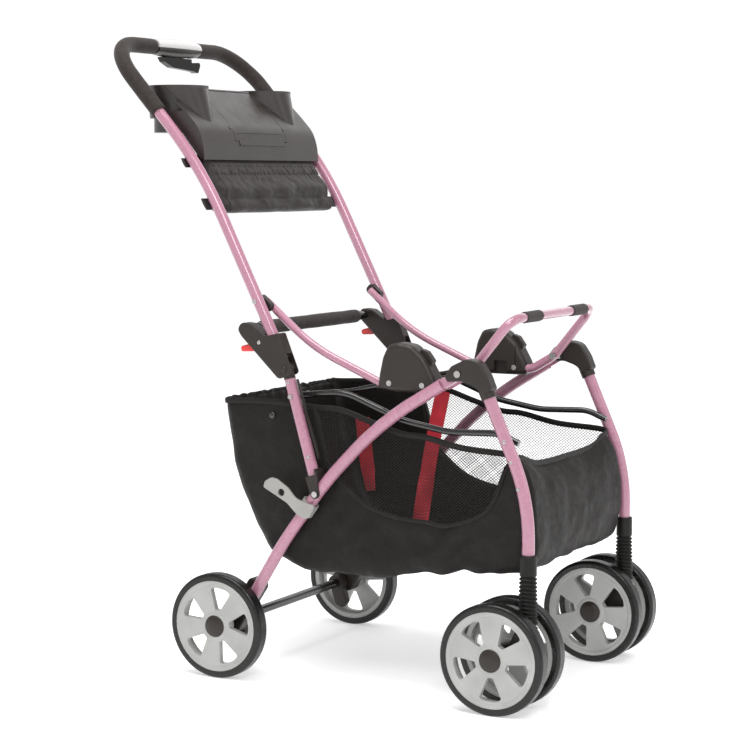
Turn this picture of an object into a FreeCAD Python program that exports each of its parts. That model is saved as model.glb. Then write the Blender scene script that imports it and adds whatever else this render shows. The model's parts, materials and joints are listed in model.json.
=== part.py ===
"""Infant-carrier frame stroller: a folding tube frame on six wheels with a basket below.

Millimetres. +Z is up and the stroller drives towards -Y, so -X is its right-hand side.
The origin is on the ground, under the middle of the bounding box.
"""
import FreeCAD, Part
import math
import os

SIDES = {"right": -1, "left": 1}

# ---------------------------------------------------------------- driving dimensions
SIZES = {
    # tubes
    "leg_rad": 10.0, "handle_rad": 9.5, "rail_rad": 6.5, "loop_rad": 7.5, "wire_rad": 5.25,
    "tube_wall": 1.5, "grip_rad": 13.5,
    # planes of the side frames, measured from the middle
    "frame_half": 206.0, "front_half": 202.0, "seat_half": 178.0, "loop_half": 165.0,
    "wire_half": 180.0, "stay_half": 167.0,
    # wheels
    "wheel_rad": 88.0, "rim_rad": 76.0, "tyre_wide": 26.0, "tyre_round": 7.0,
    "hub_rad": 21.0, "hub_wide": 28.0, "web_thick": 10.0, "rim_lip": 8.0,
    "window_near": 27.0, "window_far": 63.0, "axle_rad": 5.0, "bore_rad": 5.05,
    "rear_wheel_half": 232.0, "dual_gap_half": 33.5,
    "rear_axle_y": 170.0, "hub_height": 88.0, "caster_y": -379.0, "caster_trail": 43.0,
    # plastic parts
    "elbow_thick": 24.0, "elbow_inner": 190.0, "knuckle_thick": 25.0, "knuckle_inner": 193.5,
    "hump_thick": 38.5, "hump_inner": 156.0, "foot_thick": 24.0, "foot_inner": 184.0,
    "plastic_round": 3.0, "hump_round": 9.0, "running_gap": 0.05, "clear_gap": 0.3,
    "collar_rad": 12.0,
    # suspension and caster
    "stem_rad": 8.0, "boot_rad": 13.5, "boot_flare": 2.5, "boot_top": 250.0, "boot_low": 143.0,
    "rib_pitch": 6.25,
    # soft goods
    "basket_half": 187.0, "cloth_thick": 4.0, "pouch_half": 188.0,
    # tray
    "tray_half": 189.0, "tray_wall": 3.5, "cup_rad": 52.0, "cup_foot_rad": 46.0, "cup_x": 136.0,
    "cup_y": 306.0, "cup_top": 985.0, "cup_step": 930.0, "cup_low": 906.0, "lid_half": 84.0,
}

# ---------------------------------------------------------------- pivots, as (y, z)
PIVOT_ELBOW = (-262.0, 526.0)
PIVOT_LOWER = (-8.0, 319.0)
PIVOT_KNUCKLE = (50.0, 520.0)
PIVOT_WIRE = (39.0, 475.4)
MID_BAR = (126.0, 582.0)
HANDLE_TOP = (404.1, 1058.0)

doc = FreeCAD.newDocument("stroller")
sheet = doc.addObject("Spreadsheet::Sheet", "Sizes")
for row, (alias, value) in enumerate(SIZES.items(), start=1):
    sheet.set("A%d" % row, alias)
    sheet.set("B%d" % row, str(value))
    sheet.setAlias("B%d" % row, alias)
doc.recompute()
nodes = []


def size(alias):
    return float(sheet.get(alias))


def vec(x, y, z):
    return FreeCAD.Vector(x, y, z)


def finish_node(thing, label):
    """Marks one document object as a sub-part, under its own name."""
    thing.Label = label
    nodes.append(thing)
    return thing


# ---------------------------------------------------------------- outlines and paths
def round_corners(points, radii, closed):
    """Straight runs through the points, joined by tangent arcs, as a list of curves."""
    count = len(points)
    points = [FreeCAD.Vector(*p) for p in points]
    first, last = (0, count) if closed else (1, count - 1)
    corners = {}
    for i in range(first, last):
        here, before, after = points[i], points[i - 1], points[(i + 1) % count]
        run_in = (before - here).normalize()
        run_out = (after - here).normalize()
        turn = math.pi - run_in.getAngle(run_out)
        radius = radii[i] if isinstance(radii, (list, tuple)) else radii
        if turn < 0.01 or radius <= 0:
            corners[i] = (here, None, here)
            continue
        room = min(corner_share(i - 1, closed, count) * (before - here).Length,
                   corner_share(i + 1, closed, count) * (after - here).Length)
        back = min(radius * math.tan(turn / 2), room)
        radius = back / math.tan(turn / 2)
        inward = (run_in + run_out).normalize()
        middle = here + inward * (radius / math.cos(turn / 2) - radius)
        corners[i] = (here + run_in * back, middle, here + run_out * back)
    curves = []
    order = list(range(count)) + ([0] if closed else [])
    for a, b in zip(order[:-1], order[1:]):
        start = corners[a][2] if a in corners else points[a]
        end = corners[b][0] if b in corners else points[b]
        if (end - start).Length > 1e-6:
            curves.append(Part.LineSegment(start, end))
        if b in corners and corners[b][1] is not None:
            curves.append(Part.Arc(corners[b][0], corners[b][1], corners[b][2]))
    return curves


def corner_share(neighbour, closed, count):
    """How much of a run one corner may take: all of it beside a free end, else under half."""
    return 0.98 if not closed and neighbour in (0, count - 1) else 0.49


def side_path(half, points):
    """Points (y, z) of one side frame, placed in the plane x = half."""
    return [(half, y, z) for y, z in points]


def solid_sweep(name, points, radii, alias, extra=0.0):
    """A round bar along a path, whose radius is one cell of the sheet plus a fixed amount."""
    spine = doc.addObject("Part::Feature", name + "_path")
    spine.Shape = Part.Wire([c.toShape() for c in round_corners(points, radii, False)])
    spine.Placement = FreeCAD.Placement()
    start = FreeCAD.Vector(*points[0])
    heading = FreeCAD.Vector(*points[1]) - start
    ring = doc.addObject("Part::Circle", name + "_ring")
    ring.setExpression("Radius", "Sizes.%s + (%s)" % (alias, extra))
    ring.Placement = FreeCAD.Placement(start, FreeCAD.Rotation(vec(0, 0, 1), heading))
    sweep = doc.addObject("Part::Sweep", name + "_sweep")
    sweep.Sections = [ring]
    sweep.Spine = (spine, ["Edge%d" % (i + 1) for i in range(len(spine.Shape.Edges))])
    sweep.Solid = True
    sweep.Frenet = False
    return sweep


def cut(name, base, tools):
    """Base minus every tool."""
    for i, tool in enumerate(tools):
        made = doc.addObject("Part::Cut", "%s_cut%d" % (name, i))
        made.Base = base
        made.Tool = tool
        base = made
    return base


def fuse(name, things):
    made = doc.addObject("Part::MultiFuse", name + "_fuse")
    made.Shapes = things
    return made


def tube(name, points, radii, alias):
    """A bent tube with the sheet's wall thickness; returns it with its solid outer bar."""
    outer = solid_sweep(name + "_outer", points, radii, alias)
    inner = solid_sweep(name + "_inner", points, radii, alias, -size("tube_wall"))
    return cut(name, outer, [inner]), outer


def bar(name, radius, low, high, y, z, axis="x"):
    """A cylinder along X from x = low to x = high, or along Z from z = low to z = high."""
    rod = doc.addObject("Part::Cylinder", name)
    rod.Radius = radius
    rod.Height = high - low
    if axis == "x":
        rod.Placement = FreeCAD.Placement(vec(low, y, z), FreeCAD.Rotation(vec(0, 1, 0), 90))
    else:
        rod.Placement = FreeCAD.Placement(vec(y, z, low), FreeCAD.Rotation())
    return rod


def cross_bar(name, radius, side, near, far, pivot):
    """A cylinder along X on one side of the stroller, between two distances from the middle."""
    low, high = sorted((side * near, side * far))
    return bar(name, radius, low, high, pivot[0], pivot[1])


def origin_plane(body, role):
    return [f for f in body.Origin.OriginFeatures if f.Role == role][0]


def side_sketch(body, name, outline, radius, low):
    """A sketch in the plane x = low, with its outline given as (y, z)."""
    sketch = body.newObject("Sketcher::SketchObject", name)
    sketch.AttachmentSupport = [(origin_plane(body, "YZ_Plane"), "")]
    sketch.MapMode = "FlatFace"
    sketch.AttachmentOffset = FreeCAD.Placement(vec(0, 0, low), FreeCAD.Rotation())
    flat = [(y, z, 0) for y, z in outline]
    sketch.addGeometry(round_corners(flat, radius, True), False)
    return sketch


def side_edges(shape, places):
    """The edges that lie in one of the planes x = place."""
    found = []
    for i, edge in enumerate(shape.Edges):
        xs = [v.X for v in edge.Vertexes]
        if any(all(abs(x - place) < 1e-4 for x in xs) for place in places):
            found.append("Edge%d" % (i + 1))
    return found


def plate(name, outline, corner, low, thick, edge_round=None):
    """A plate cut to an outline in the side view, from x = low, with its edges rounded."""
    body = doc.addObject("PartDesign::Body", name)
    sketch = side_sketch(body, name + "_outline", outline, corner, low)
    pad = body.newObject("PartDesign::Pad", name + "_pad")
    pad.Profile = sketch
    if isinstance(thick, str):
        pad.setExpression("Length", thick)
    else:
        pad.Length = thick
    doc.recompute()
    if edge_round:
        box = pad.Shape.BoundBox
        soft = body.newObject("PartDesign::Fillet", name + "_soft")
        soft.Base = (pad, side_edges(pad.Shape, (box.XMin, box.XMax)))
        soft.setExpression("Radius", edge_round)
        doc.recompute()
        body.Tip = soft
    return body


def side_plate(name, side, outline, corner, inner, thick, edge_round=None):
    """A plate on one side, from the distance inner outwards by the cell or number thick."""
    depth = size(thick[6:]) if isinstance(thick, str) else thick
    low = inner if side > 0 else -inner - depth
    return plate(name, outline, corner, low, thick, edge_round)


def along(start, end, distance, aside=0.0):
    """The point at a distance from start towards end, and moved aside to the left of it."""
    dy, dz = end[0] - start[0], end[1] - start[1]
    long = math.hypot(dy, dz)
    uy, uz = dy / long, dz / long
    return (start[0] + uy * distance - uz * aside, start[1] + uz * distance + uy * aside)


# ---------------------------------------------------------------- rear frame
REAR_LEG = [(118, 137), (58, 234), (-20, 338), (-122, 441), (-232, 508)]
TONGUE_INNER, TONGUE_THICK = 202.0, 8.0
ELBOW_PIN_RAD, SMALL_PIN_RAD = 4.0, 3.0


def rear_leg(side, word):
    half = side * size("frame_half")
    shell, outer = tube("rear_leg_" + word, side_path(half, REAR_LEG), 700, "leg_rad")
    back = along(PIVOT_ELBOW, REAR_LEG[-1], 44)
    tip_half = 8.0
    outline = [
        along(PIVOT_ELBOW, back, -tip_half, tip_half), along(PIVOT_ELBOW, back, 44, tip_half),
        along(PIVOT_ELBOW, back, 44, -tip_half), along(PIVOT_ELBOW, back, -tip_half, -tip_half),
    ]
    tongue = side_plate("leg_tongue_" + word, side, outline, [7.9, 0, 0, 7.9],
                        TONGUE_INNER, TONGUE_THICK)
    whole = fuse("rear_leg_" + word, [shell, tongue])
    holes = [
        cross_bar("leg_elbow_hole_" + word, ELBOW_PIN_RAD, side, 180, 230, PIVOT_ELBOW),
        cross_bar("leg_pivot_hole_" + word, SMALL_PIN_RAD, side, 180, 230, PIVOT_LOWER),
    ]
    finish_node(cut("rear_leg_" + word, whole, holes), "rear_leg_" + word)
    return outer


def rear_foot(side, word, leg):
    outline = [(96, 158), (124, 170), (152, 124), (188, 100), (190, 76), (170, 66),
               (148, 74), (126, 112)]
    block = side_plate("foot_block_" + word, side, outline, 10, size("foot_inner"),
                       "Sizes.foot_thick", "Sizes.plastic_round")
    axle = (size("rear_axle_y"), size("hub_height"))
    boss = cross_bar("foot_boss_" + word, 14.0, side, size("foot_inner"), 217.0, axle)
    hole = cross_bar("foot_axle_hole_" + word, size("axle_rad"), side, 170, 230, axle)
    whole = fuse("foot_" + word, [block, boss])
    finish_node(cut("rear_foot_" + word, whole, [leg, hole]), "rear_foot_" + word)


def brake_lever(side, word):
    axle = (size("rear_axle_y"), size("hub_height"))
    hub_rad = 15.0
    hub = cross_bar("brake_hub_" + word, hub_rad, side, 163, 181, axle)
    pedal_outline = [(160, 98), (184, 84), (172, 48), (158, 42), (148, 54)]
    pedal = side_plate("brake_pedal_" + word, side, pedal_outline, 5, 164, 16.0,
                       "Sizes.plastic_round")
    hole = cross_bar("brake_hole_" + word, AXLE_TUBE_RAD + size("running_gap"), side, 150, 190, axle)
    whole = fuse("brake_" + word, [hub, pedal])
    finish_node(cut("brake_lever_" + word, whole, [hole]), "brake_lever_" + word)


AXLE_TUBE_RAD = 8.0


def rear_axle():
    axle = (size("rear_axle_y"), size("hub_height"))
    inner = size("foot_inner")
    reach = size("rear_wheel_half") + 12
    thick = bar("axle_tube", AXLE_TUBE_RAD, -inner, inner, axle[0], axle[1])
    thin = bar("axle_rod", 1.0, -reach, reach, axle[0], axle[1])
    thin.setExpression("Radius", "Sizes.axle_rad")
    finish_node(fuse("rear_axle", [thick, thin]), "rear_axle")


def frame_pins():
    """The two pivot pins at each side that stay on the rear frame, with their heads."""
    parts = []
    for word, side in SIDES.items():
        parts.append(fuse("elbow_pin_" + word, [
            cross_bar("elbow_shaft_" + word, ELBOW_PIN_RAD, side, 154.2, 216.5, PIVOT_ELBOW),
            cross_bar("elbow_head_" + word, 5.5, side, 214.4, 216.8, PIVOT_ELBOW),
            cross_bar("elbow_nut_" + word, 6.0, side, 154.0, 157.1, PIVOT_ELBOW),
            cross_bar("elbow_spacer_" + word, 6.5, side, 172.9, 189.6, PIVOT_ELBOW),
        ]))
        parts.append(fuse("lower_pin_" + word, [
            cross_bar("lower_shaft_" + word, SMALL_PIN_RAD, side, 191, 221, PIVOT_LOWER),
            cross_bar("lower_head_" + word, 5.0, side, 219.0, 221.4, PIVOT_LOWER),
            cross_bar("lower_nut_" + word, 5.0, side, 190.6, 193.0, PIVOT_LOWER),
        ]))
    group = doc.addObject("Part::Compound", "frame_pins_group")
    group.Links = parts
    finish_node(group, "frame_pins")


def storage_clip():
    """The grey clip that turns round the right rear leg and holds the folded frame."""
    start, end = REAR_LEG[1], REAR_LEG[2]
    far = math.hypot(end[0] - start[0], end[1] - start[1])
    centre = along(start, end, far - 54.0)
    half = -size("frame_half")
    heading = vec(0, end[0] - start[0], end[1] - start[1])
    turn = FreeCAD.Rotation(vec(0, 0, 1), heading)
    wide = 22.0
    low = along(start, end, far - 54.0 - wide / 2)
    band = doc.addObject("Part::Cylinder", "clip_band")
    band.Radius = 14.5
    band.Height = wide
    band.Placement = FreeCAD.Placement(vec(half, low[0], low[1]), turn)
    arm_outline = [(-11, 301), (8, 304), (27, 311), (41, 327), (62, 340), (72, 342), (84, 335),
                   (87, 325), (63, 313), (42, 302), (23, 284), (8, 278), (0, 281)]
    arm = plate("clip_arm", arm_outline, [4, 20, 20, 20, 10, 8, 6, 4, 20, 20, 20, 6, 4],
                -223.4, 4.0)
    hole = bar("clip_hole", 6.2, -230, -215, 53, 318.5)
    bore = doc.addObject("Part::Cylinder", "clip_bore")
    bore.Radius = size("leg_rad") + 2 * size("clear_gap")
    bore.Height = 60
    below = along(start, end, far - 84.0)
    bore.Placement = FreeCAD.Placement(vec(half, below[0], below[1]), turn)
    whole = fuse("clip", [band, arm])
    finish_node(cut("storage_clip", whole, [hole, bore]), "storage_clip")
    return centre


# ---------------------------------------------------------------- lower handle
FORK_INNER, FORK_THICK = 193.3, 25.4
TUBE_START = 28.0


def lower_handle(side, word):
    half = side * size("frame_half")
    start = along(PIVOT_LOWER, PIVOT_KNUCKLE, TUBE_START)
    path = side_path(half, [start, PIVOT_KNUCKLE])
    rad = size("handle_rad")
    shell, outer = tube("lower_tube_" + word, path, 0, "handle_rad")
    frame = size("frame_half")
    knuckle = cross_bar("lower_end_" + word, rad, side, frame - rad, frame + rad, PIVOT_KNUCKLE)
    holes = [
        cross_bar("lower_knuckle_hole_" + word, SMALL_PIN_RAD, side, 180, 230, PIVOT_KNUCKLE),
        cross_bar("lower_wire_hole_" + word, SMALL_PIN_RAD, side, 180, 230, PIVOT_WIRE),
    ]
    whole = cut("lower_handle_" + word, fuse("lower_" + word, [shell, knuckle]), holes)
    finish_node(whole, "lower_handle_" + word)
    up = PIVOT_KNUCKLE
    outline = [along(PIVOT_LOWER, up, *place) for place in
               ((-7.5, 7.5), (12, 8.5), (25, 12), (34, 12.5), (40, 9.4), (31, 9.4), (31, -9.4),
                (20, -9.4), (-7.5, -7.5))]
    block = side_plate("fork_block_" + word, side, outline, [7.4, 4, 5, 4, 0, 0, 1, 4, 7.4],
                       FORK_INNER, FORK_THICK)
    gap_outline = [along(PIVOT_LOWER, up, *place) for place in
                   ((-20, 20), (22.5, 20), (22.5, -20), (-20, -20))]
    gap = side_plate("fork_gap_" + word, side, gap_outline, 0, 195.7, 20.6)
    plug_rad = rad - size("tube_wall") - size("running_gap")
    plug = solid_sweep("fork_plug_" + word,
                       side_path(half, [along(PIVOT_LOWER, up, 24), along(PIVOT_LOWER, up, 50)]),
                       0, "handle_rad", plug_rad - rad)
    hole = cross_bar("fork_hole_" + word, SMALL_PIN_RAD + size("running_gap"), side,
                     180, 230, PIVOT_LOWER)
    cheeks = cut("fork_cheeks_" + word, block, [gap, outer, hole])
    finish_node(fuse("lower_fork_" + word, [cheeks, plug]), "lower_fork_" + word)


def lower_pins():
    """The knuckle pins and the basket-rail pins, which the lower handle carries."""
    parts = []
    for word, side in SIDES.items():
        parts.append(fuse("knuckle_pin_" + word, [
            cross_bar("knuckle_shaft_" + word, SMALL_PIN_RAD, side, 191, 220.8, PIVOT_KNUCKLE),
            cross_bar("knuckle_head_" + word, 4.2, side, 218.8, 220.8, PIVOT_KNUCKLE),
            cross_bar("knuckle_nut_" + word, 4.5, side, 190.9, 193.2, PIVOT_KNUCKLE),
        ]))
        parts.append(fuse("wire_pin_" + word, [
            cross_bar("wire_shaft_" + word, SMALL_PIN_RAD, side, 158.5, 218, PIVOT_WIRE),
            cross_bar("wire_head_" + word, 4.0, side, 215.7, 217.6, PIVOT_WIRE),
            cross_bar("wire_nut_" + word, 5.0, side, 158, 161, PIVOT_WIRE),
        ]))
    group = doc.addObject("Part::Compound", "lower_pins_group")
    group.Links = parts
    finish_node(group, "lower_pins")


# ---------------------------------------------------------------- upper handle
HANDLE_BEND = (215.0, 848.0)
HANDLE_CORNER = 80.0


def upper_handle():
    half = size("frame_half")
    start = along(PIVOT_KNUCKLE, HANDLE_BEND, 18)
    up = side_path(-half, [start, HANDLE_BEND, HANDLE_TOP])
    down = side_path(half, [HANDLE_TOP, HANDLE_BEND, start])
    shell, outer = tube("upper_handle", up + down,
                        [0, 700, HANDLE_CORNER, HANDLE_CORNER, 700, 0], "handle_rad")
    finish_node(shell, "upper_handle")
    return outer


def handle_grips(handle):
    """Two foam sleeves, from the tray up and round to the middle housing."""
    half = size("frame_half")
    mid = HOUSING_HALF
    parts = []
    for word, side in SIDES.items():
        low = along(HANDLE_BEND, HANDLE_TOP, 122)
        points = [(side * half, low[0], low[1]), (side * half, *HANDLE_TOP),
                  (side * mid, *HANDLE_TOP)]
        foam = solid_sweep("grip_" + word, points, HANDLE_CORNER, "grip_rad")
        parts.append(cut("grip_" + word, foam, [handle]))
    group = doc.addObject("Part::Compound", "handle_grips_group")
    group.Links = parts
    finish_node(group, "handle_grips")


HOUSING_HALF = 66.0


def handle_housing(handle):
    """The middle housing, fuller in its middle, with a slot below for the release trigger."""
    top_y, top_z = HANDLE_TOP
    shape = doc.addObject("Part::Feature", "housing_shell")
    sections = []
    for x, radius in ((-HOUSING_HALF, 14.0), (-36.0, 17.5), (0.0, 18.5), (36.0, 17.5),
                      (HOUSING_HALF, 14.0)):
        ring = Part.Ellipse(vec(0, 0, 0), radius * 1.08, radius * 0.92).toShape()
        wire = Part.Wire([ring])
        wire.Placement = FreeCAD.Placement(vec(x, top_y, top_z), FreeCAD.Rotation(vec(0, 1, 0), 90)
                                           * FreeCAD.Rotation(vec(0, 0, 1), 90))
        sections.append(wire)
    shape.Shape = Part.makeLoft(sections, True)
    shape.Placement = FreeCAD.Placement()
    slot = doc.addObject("Part::Box", "housing_slot")
    slot.Length, slot.Width, slot.Height = 93.0, 12.6, 14.0
    slot.Placement = FreeCAD.Placement(vec(-46.5, top_y - 6.3, top_z - 24.0), FreeCAD.Rotation())
    finish_node(cut("handle_housing", shape, [handle, slot]), "handle_housing")


def release_trigger():
    top_y, top_z = HANDLE_TOP
    body = doc.addObject("PartDesign::Body", "trigger_body")
    sketch = body.newObject("Sketcher::SketchObject", "trigger_outline")
    sketch.AttachmentSupport = [(origin_plane(body, "XZ_Plane"), "")]
    sketch.MapMode = "FlatFace"
    sketch.AttachmentOffset = FreeCAD.Placement(vec(0, 0, -top_y - 6.0), FreeCAD.Rotation())
    outline = [(-46, -16.6), (46, -16.6), (46, -23), (71, -21.5), (74, -26), (67, -41),
               (54, -38), (-14, -34), (-38, -25)]
    flat = [(x, top_z + drop, 0) for x, drop in outline]
    sketch.addGeometry(round_corners(flat, [1, 1, 1, 3, 4, 4, 20, 20, 8], True), False)
    pad = body.newObject("PartDesign::Pad", "trigger_pad")
    pad.Profile = sketch
    pad.Length = 12.0
    finish_node(body, "release_trigger")


KNUCKLE_OUTLINE = [(33, 513), (61, 503), (132, 571), (139, 582), (132, 594), (112, 592),
                   (84, 573), (60, 579)]


def knuckle(side, word, handle):
    """The tapered housing that joins both handle tubes and reaches back to the middle bar."""
    block = side_plate("knuckle_block_" + word, side, KNUCKLE_OUTLINE,
                       [6, 9, 9, 9, 10, 8, 9, 4], size("knuckle_inner"),
                       "Sizes.knuckle_thick", "Sizes.plastic_round")
    y, z = PIVOT_KNUCKLE
    gap_outline = [(y + 11, z - 40), (y + 11, z + 2), (y + 8, z + 9.5), (y - 36, z + 72),
                   (y - 60, z + 72), (y - 60, z - 40)]
    gap = side_plate("knuckle_gap_" + word, side, gap_outline, 0, 196.2, 19.6)
    hole = cross_bar("knuckle_hole_" + word, SMALL_PIN_RAD + size("running_gap"), side,
                     180, 230, PIVOT_KNUCKLE)
    slot_outline = [(88, 540), (95, 566), (125, 566), (160, 560), (150, 525), (108, 535)]
    slot = side_plate("latch_slot_" + word, side, slot_outline, 0, 199.5, 13.0)
    finish_node(cut("knuckle_" + word, block, [handle, gap, hole, slot]), "knuckle_" + word)


def release_latch(side, word):
    """The red tongue under the knuckle's rear arm."""
    outline = [(93, 549), (98, 560), (118, 559), (137, 554), (136, 545), (116, 546)]
    body = side_plate("latch_body_" + word, side, outline, 4, 200.0, 12.0, "Sizes.plastic_round")
    finish_node(body, "release_latch_" + word)


def middle_bar():
    y, z = MID_BAR
    reach, foam_half, rod_rad = size("knuckle_inner"), 162.0, 7.0
    rod = bar("middle_rod", rod_rad, -reach, reach, y, z)
    collars = [cross_bar("middle_collar_" + word, 9.0, side, foam_half, foam_half + 12, MID_BAR)
               for word, side in SIDES.items()]
    finish_node(fuse("middle_bar", [rod] + collars), "middle_bar")
    foam = bar("middle_foam_bar", 12.0, -foam_half, foam_half, y, z)
    core = bar("middle_core", rod_rad, -reach, reach, y, z)
    finish_node(cut("middle_foam", foam, [core]), "middle_foam")


# ---------------------------------------------------------------- parent tray and pouch
TRAY_FACE = [(219, 860), (221, 888), (231, 914), (258, 943), (300, 983)]
TRAY_BENDS = [0, 90, 55, 120, 0]
LID_HINGE = (224.7, 893.5)
LID_THICK = 3.0
LID_SEAM = 0.9


def offset_back(line, depth):
    """The same line moved towards the rear and down by a depth."""
    turn = math.radians(-35)
    return [(y + depth * math.cos(turn), z + depth * math.sin(turn)) for y, z in line]


def on_face(distance):
    """The point of the tray's lower slope at a distance up from its first bend."""
    return along(TRAY_FACE[1], TRAY_FACE[2], distance)


def slope(start, end, depth, near=0.0):
    """An outline that follows the tray's face from start to end, between two depths."""
    line = [start, TRAY_FACE[2], TRAY_FACE[3], end]
    return offset_back(line, near) + offset_back(line, depth)[::-1]


SLOPE_BENDS = [0, 55, 120, 0, 0, 120, 55, 0]


def cup_fairing(side, word):
    """The cup's skin in front of the tray face: a slanting cone that runs out lower down."""
    x = side * size("cup_x")
    rings = []
    rim = size("cup_y"), size("cup_top") - 1.0, size("cup_rad") - 1.2
    for y, z, radius in (rim, (255.5, 905.0, 20.0)):
        ring = Part.Circle(vec(x, y, z), vec(0, 0, 1), radius).toShape()
        rings.append(Part.Wire([ring]))
    cone = doc.addObject("Part::Feature", "fairing_cone_" + word)
    cone.Shape = Part.makeLoft(rings, True, True)
    cone.Placement = FreeCAD.Placement()
    rear = [(y + 1.5, z - 1.0) for y, z in TRAY_FACE] + [(400, 990), (400, 850)]
    behind = plate("fairing_rear_" + word, rear, 0, -size("tray_half") - 10,
                   2 * size("tray_half") + 20)
    return cut("fairing_" + word, cone, [behind])


def parent_tray():
    half = size("tray_half")
    wall = size("tray_wall")
    panel_outline = TRAY_FACE + offset_back(TRAY_FACE[1:], wall)[::-1] + [(219 + wall, 860)]
    panel = plate("tray_panel", panel_outline, TRAY_BENDS + [0, 120, 55, 90, 0], -half, 2 * half)
    box_half = size("lid_half") + 5.5
    box_outline = [(223, 880), (231, 914), (258, 943), (299, 982), (342, 982), (342, 930),
                   (262, 878)]
    case = plate("tray_case", box_outline, 0, -box_half, 2 * box_half)
    room_outline = [(227.5, 886), (236, 911), (264, 939), (300, 973), (300, 979), (339, 979),
                    (339, 932), (261, 882)]
    room = plate("tray_room", room_outline, 0, 3 - box_half, 2 * box_half - 6)
    gap = size("clear_gap")
    mouth = plate("tray_mouth", slope(on_face(4.2), (297.8, 980.8), 7.5, -7.0), SLOPE_BENDS,
                  -size("lid_half") - LID_SEAM, 2 * size("lid_half") + 2 * LID_SEAM)
    tongue_half = size("lid_half") - 10.0
    tongue = plate("tray_tongue", [on_face(-3), on_face(TONGUE_TOP)]
                   + offset_back([on_face(TONGUE_TOP), on_face(-3)], wall), 0,
                   gap - tongue_half, 2 * tongue_half - 2 * gap)
    cups, rooms, fairings = [], [], []
    for word, side in SIDES.items():
        x, y = side * size("cup_x"), size("cup_y")
        step, low, top = size("cup_step"), size("cup_low"), size("cup_top")
        for name, shrink, lift, where in (("cup", 0.0, 0.0, cups), ("cup_room", 2.5, 3.0, rooms)):
            cone = doc.addObject("Part::Cone", "%s_%s" % (name, word))
            cone.setExpression("Radius1", "Sizes.cup_foot_rad + 2 - %s" % shrink)
            cone.setExpression("Radius2", "Sizes.cup_rad - %s" % shrink)
            cone.Height = top - step + (lift / 3.0)
            cone.Placement = FreeCAD.Placement(vec(x, y, step + lift), FreeCAD.Rotation())
            foot = doc.addObject("Part::Cylinder", "%s_foot_%s" % (name, word))
            foot.setExpression("Radius", "Sizes.cup_foot_rad - 5 - %s" % shrink)
            foot.Height = step - low + 1.0
            foot.Placement = FreeCAD.Placement(vec(x, y, low + lift), FreeCAD.Rotation())
            where.extend([cone, foot])
        fairings.append(cup_fairing(side, word))
    shell = cut("tray_shell", fuse("tray_body", [panel, case]), [mouth, room])
    flange_front = offset_back(TRAY_FACE[:4], wall / 2.0)
    flange_outline = flange_front + [(292, 940), (262, 903), (233, 867), (226, 862)]
    reach = half - 0.5
    flanges = [plate("tray_flange_" + word, flange_outline, 0,
                     min(side * reach, side * (reach - wall)), wall)
               for word, side in SIDES.items()]
    face = fuse("tray_face", [shell, tongue] + flanges + fairings)
    whole = fuse("tray", [face] + cups)
    finish_node(cut("parent_tray", whole, rooms), "parent_tray")


TONGUE_TOP = 19.0


def tray_lid():
    """The lid, with two hinge tabs that reach down at its lower corners."""
    half = size("lid_half")
    start = LID_HINGE[0] - 1.94, LID_HINGE[1] - 0.86
    outline = slope(start, (296.6, 979.6), LID_THICK)
    outline[-1] = (LID_HINGE[0] + 0.86, LID_HINGE[1] - 1.94)
    leaf = plate("tray_lid_leaf", outline, [1.49, 55, 120, 0, 0, 120, 55, 1.49], -half, 2 * half)
    tongue_half = half - 10.0
    notch_top = on_face(TONGUE_TOP + 0.6)
    notch = plate("tray_lid_notch", [on_face(-12), notch_top]
                  + offset_back([notch_top, on_face(-12)], 8.0), 0, -tongue_half,
                  2 * tongue_half)
    front = plate("tray_lid_front", [on_face(-12), notch_top]
                  + offset_back([notch_top, on_face(-12)], -4.0), 0, -tongue_half,
                  2 * tongue_half)
    finish_node(cut("tray_lid", leaf, [notch, front]), "tray_lid")


def cloth_tub(name, label, outer, inner, half, wall):
    """A tub of cloth, open at the top: an outer block with its inside pocketed out."""
    body = doc.addObject("PartDesign::Body", name)
    sketch = side_sketch(body, name + "_outline", outer, 14, -half)
    pad = body.newObject("PartDesign::Pad", name + "_pad")
    pad.Profile = sketch
    pad.Length = 2 * half
    doc.recompute()
    hollow = side_sketch(body, name + "_hollow", inner, 10, wall - half)
    pocket = body.newObject("PartDesign::Pocket", name + "_pocket")
    pocket.Profile = hollow
    pocket.Reversed = True
    pocket.Length = 2 * half - 2 * wall
    doc.recompute()
    if pocket.Shape.Volume > 0.7 * pad.Shape.Volume:
        raise RuntimeError(label + " has no inside")
    finish_node(body, label)


def pouch():
    outer = [(206, 852), (186, 812), (174, 778), (198, 776), (222, 812), (240, 852)]
    inner = [(206, 880), (209, 852), (190, 811), (180, 783), (195, 781), (219, 813), (236, 852),
             (236, 880)]
    cloth_tub("pouch_body", "rear_pouch", outer, inner, size("pouch_half"), 3.0)


# ---------------------------------------------------------------- basket
BASKET_REAR = [(184, 459), (174, 393), (160, 339), (143, 291), (122, 248), (98, 215), (66, 198)]
BASKET_FLOOR = [(8, 188), (-88, 189), (-149, 195), (-285, 209), (-352, 214)]
BASKET_FRONT = [(-360, 222), (-366, 262), (-368, 320), (-360, 372), (-344, 396)]
BASKET_TOP = [(-300, 403), (-227, 410), (-150, 422), (-97, 438), (-40, 455), (60, 457)]


def basket():
    wall = size("cloth_thick")
    outer = BASKET_REAR + BASKET_FLOOR + BASKET_FRONT + BASKET_TOP
    rear = [(y - wall, z) for y, z in BASKET_REAR]
    rear[-1] = (65, 202.5)
    rear[-2] = (95, 218.5)
    floor = [(y, z + wall) for y, z in BASKET_FLOOR]
    front = [(y + wall, z) for y, z in BASKET_FRONT]
    lid = [(-340, 520), (180, 520)]
    inner = rear + floor[:-1] + [(-349, 219)] + front[1:] + lid
    cloth_tub("basket_body", "basket", outer, inner, size("basket_half"), wall)


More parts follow.
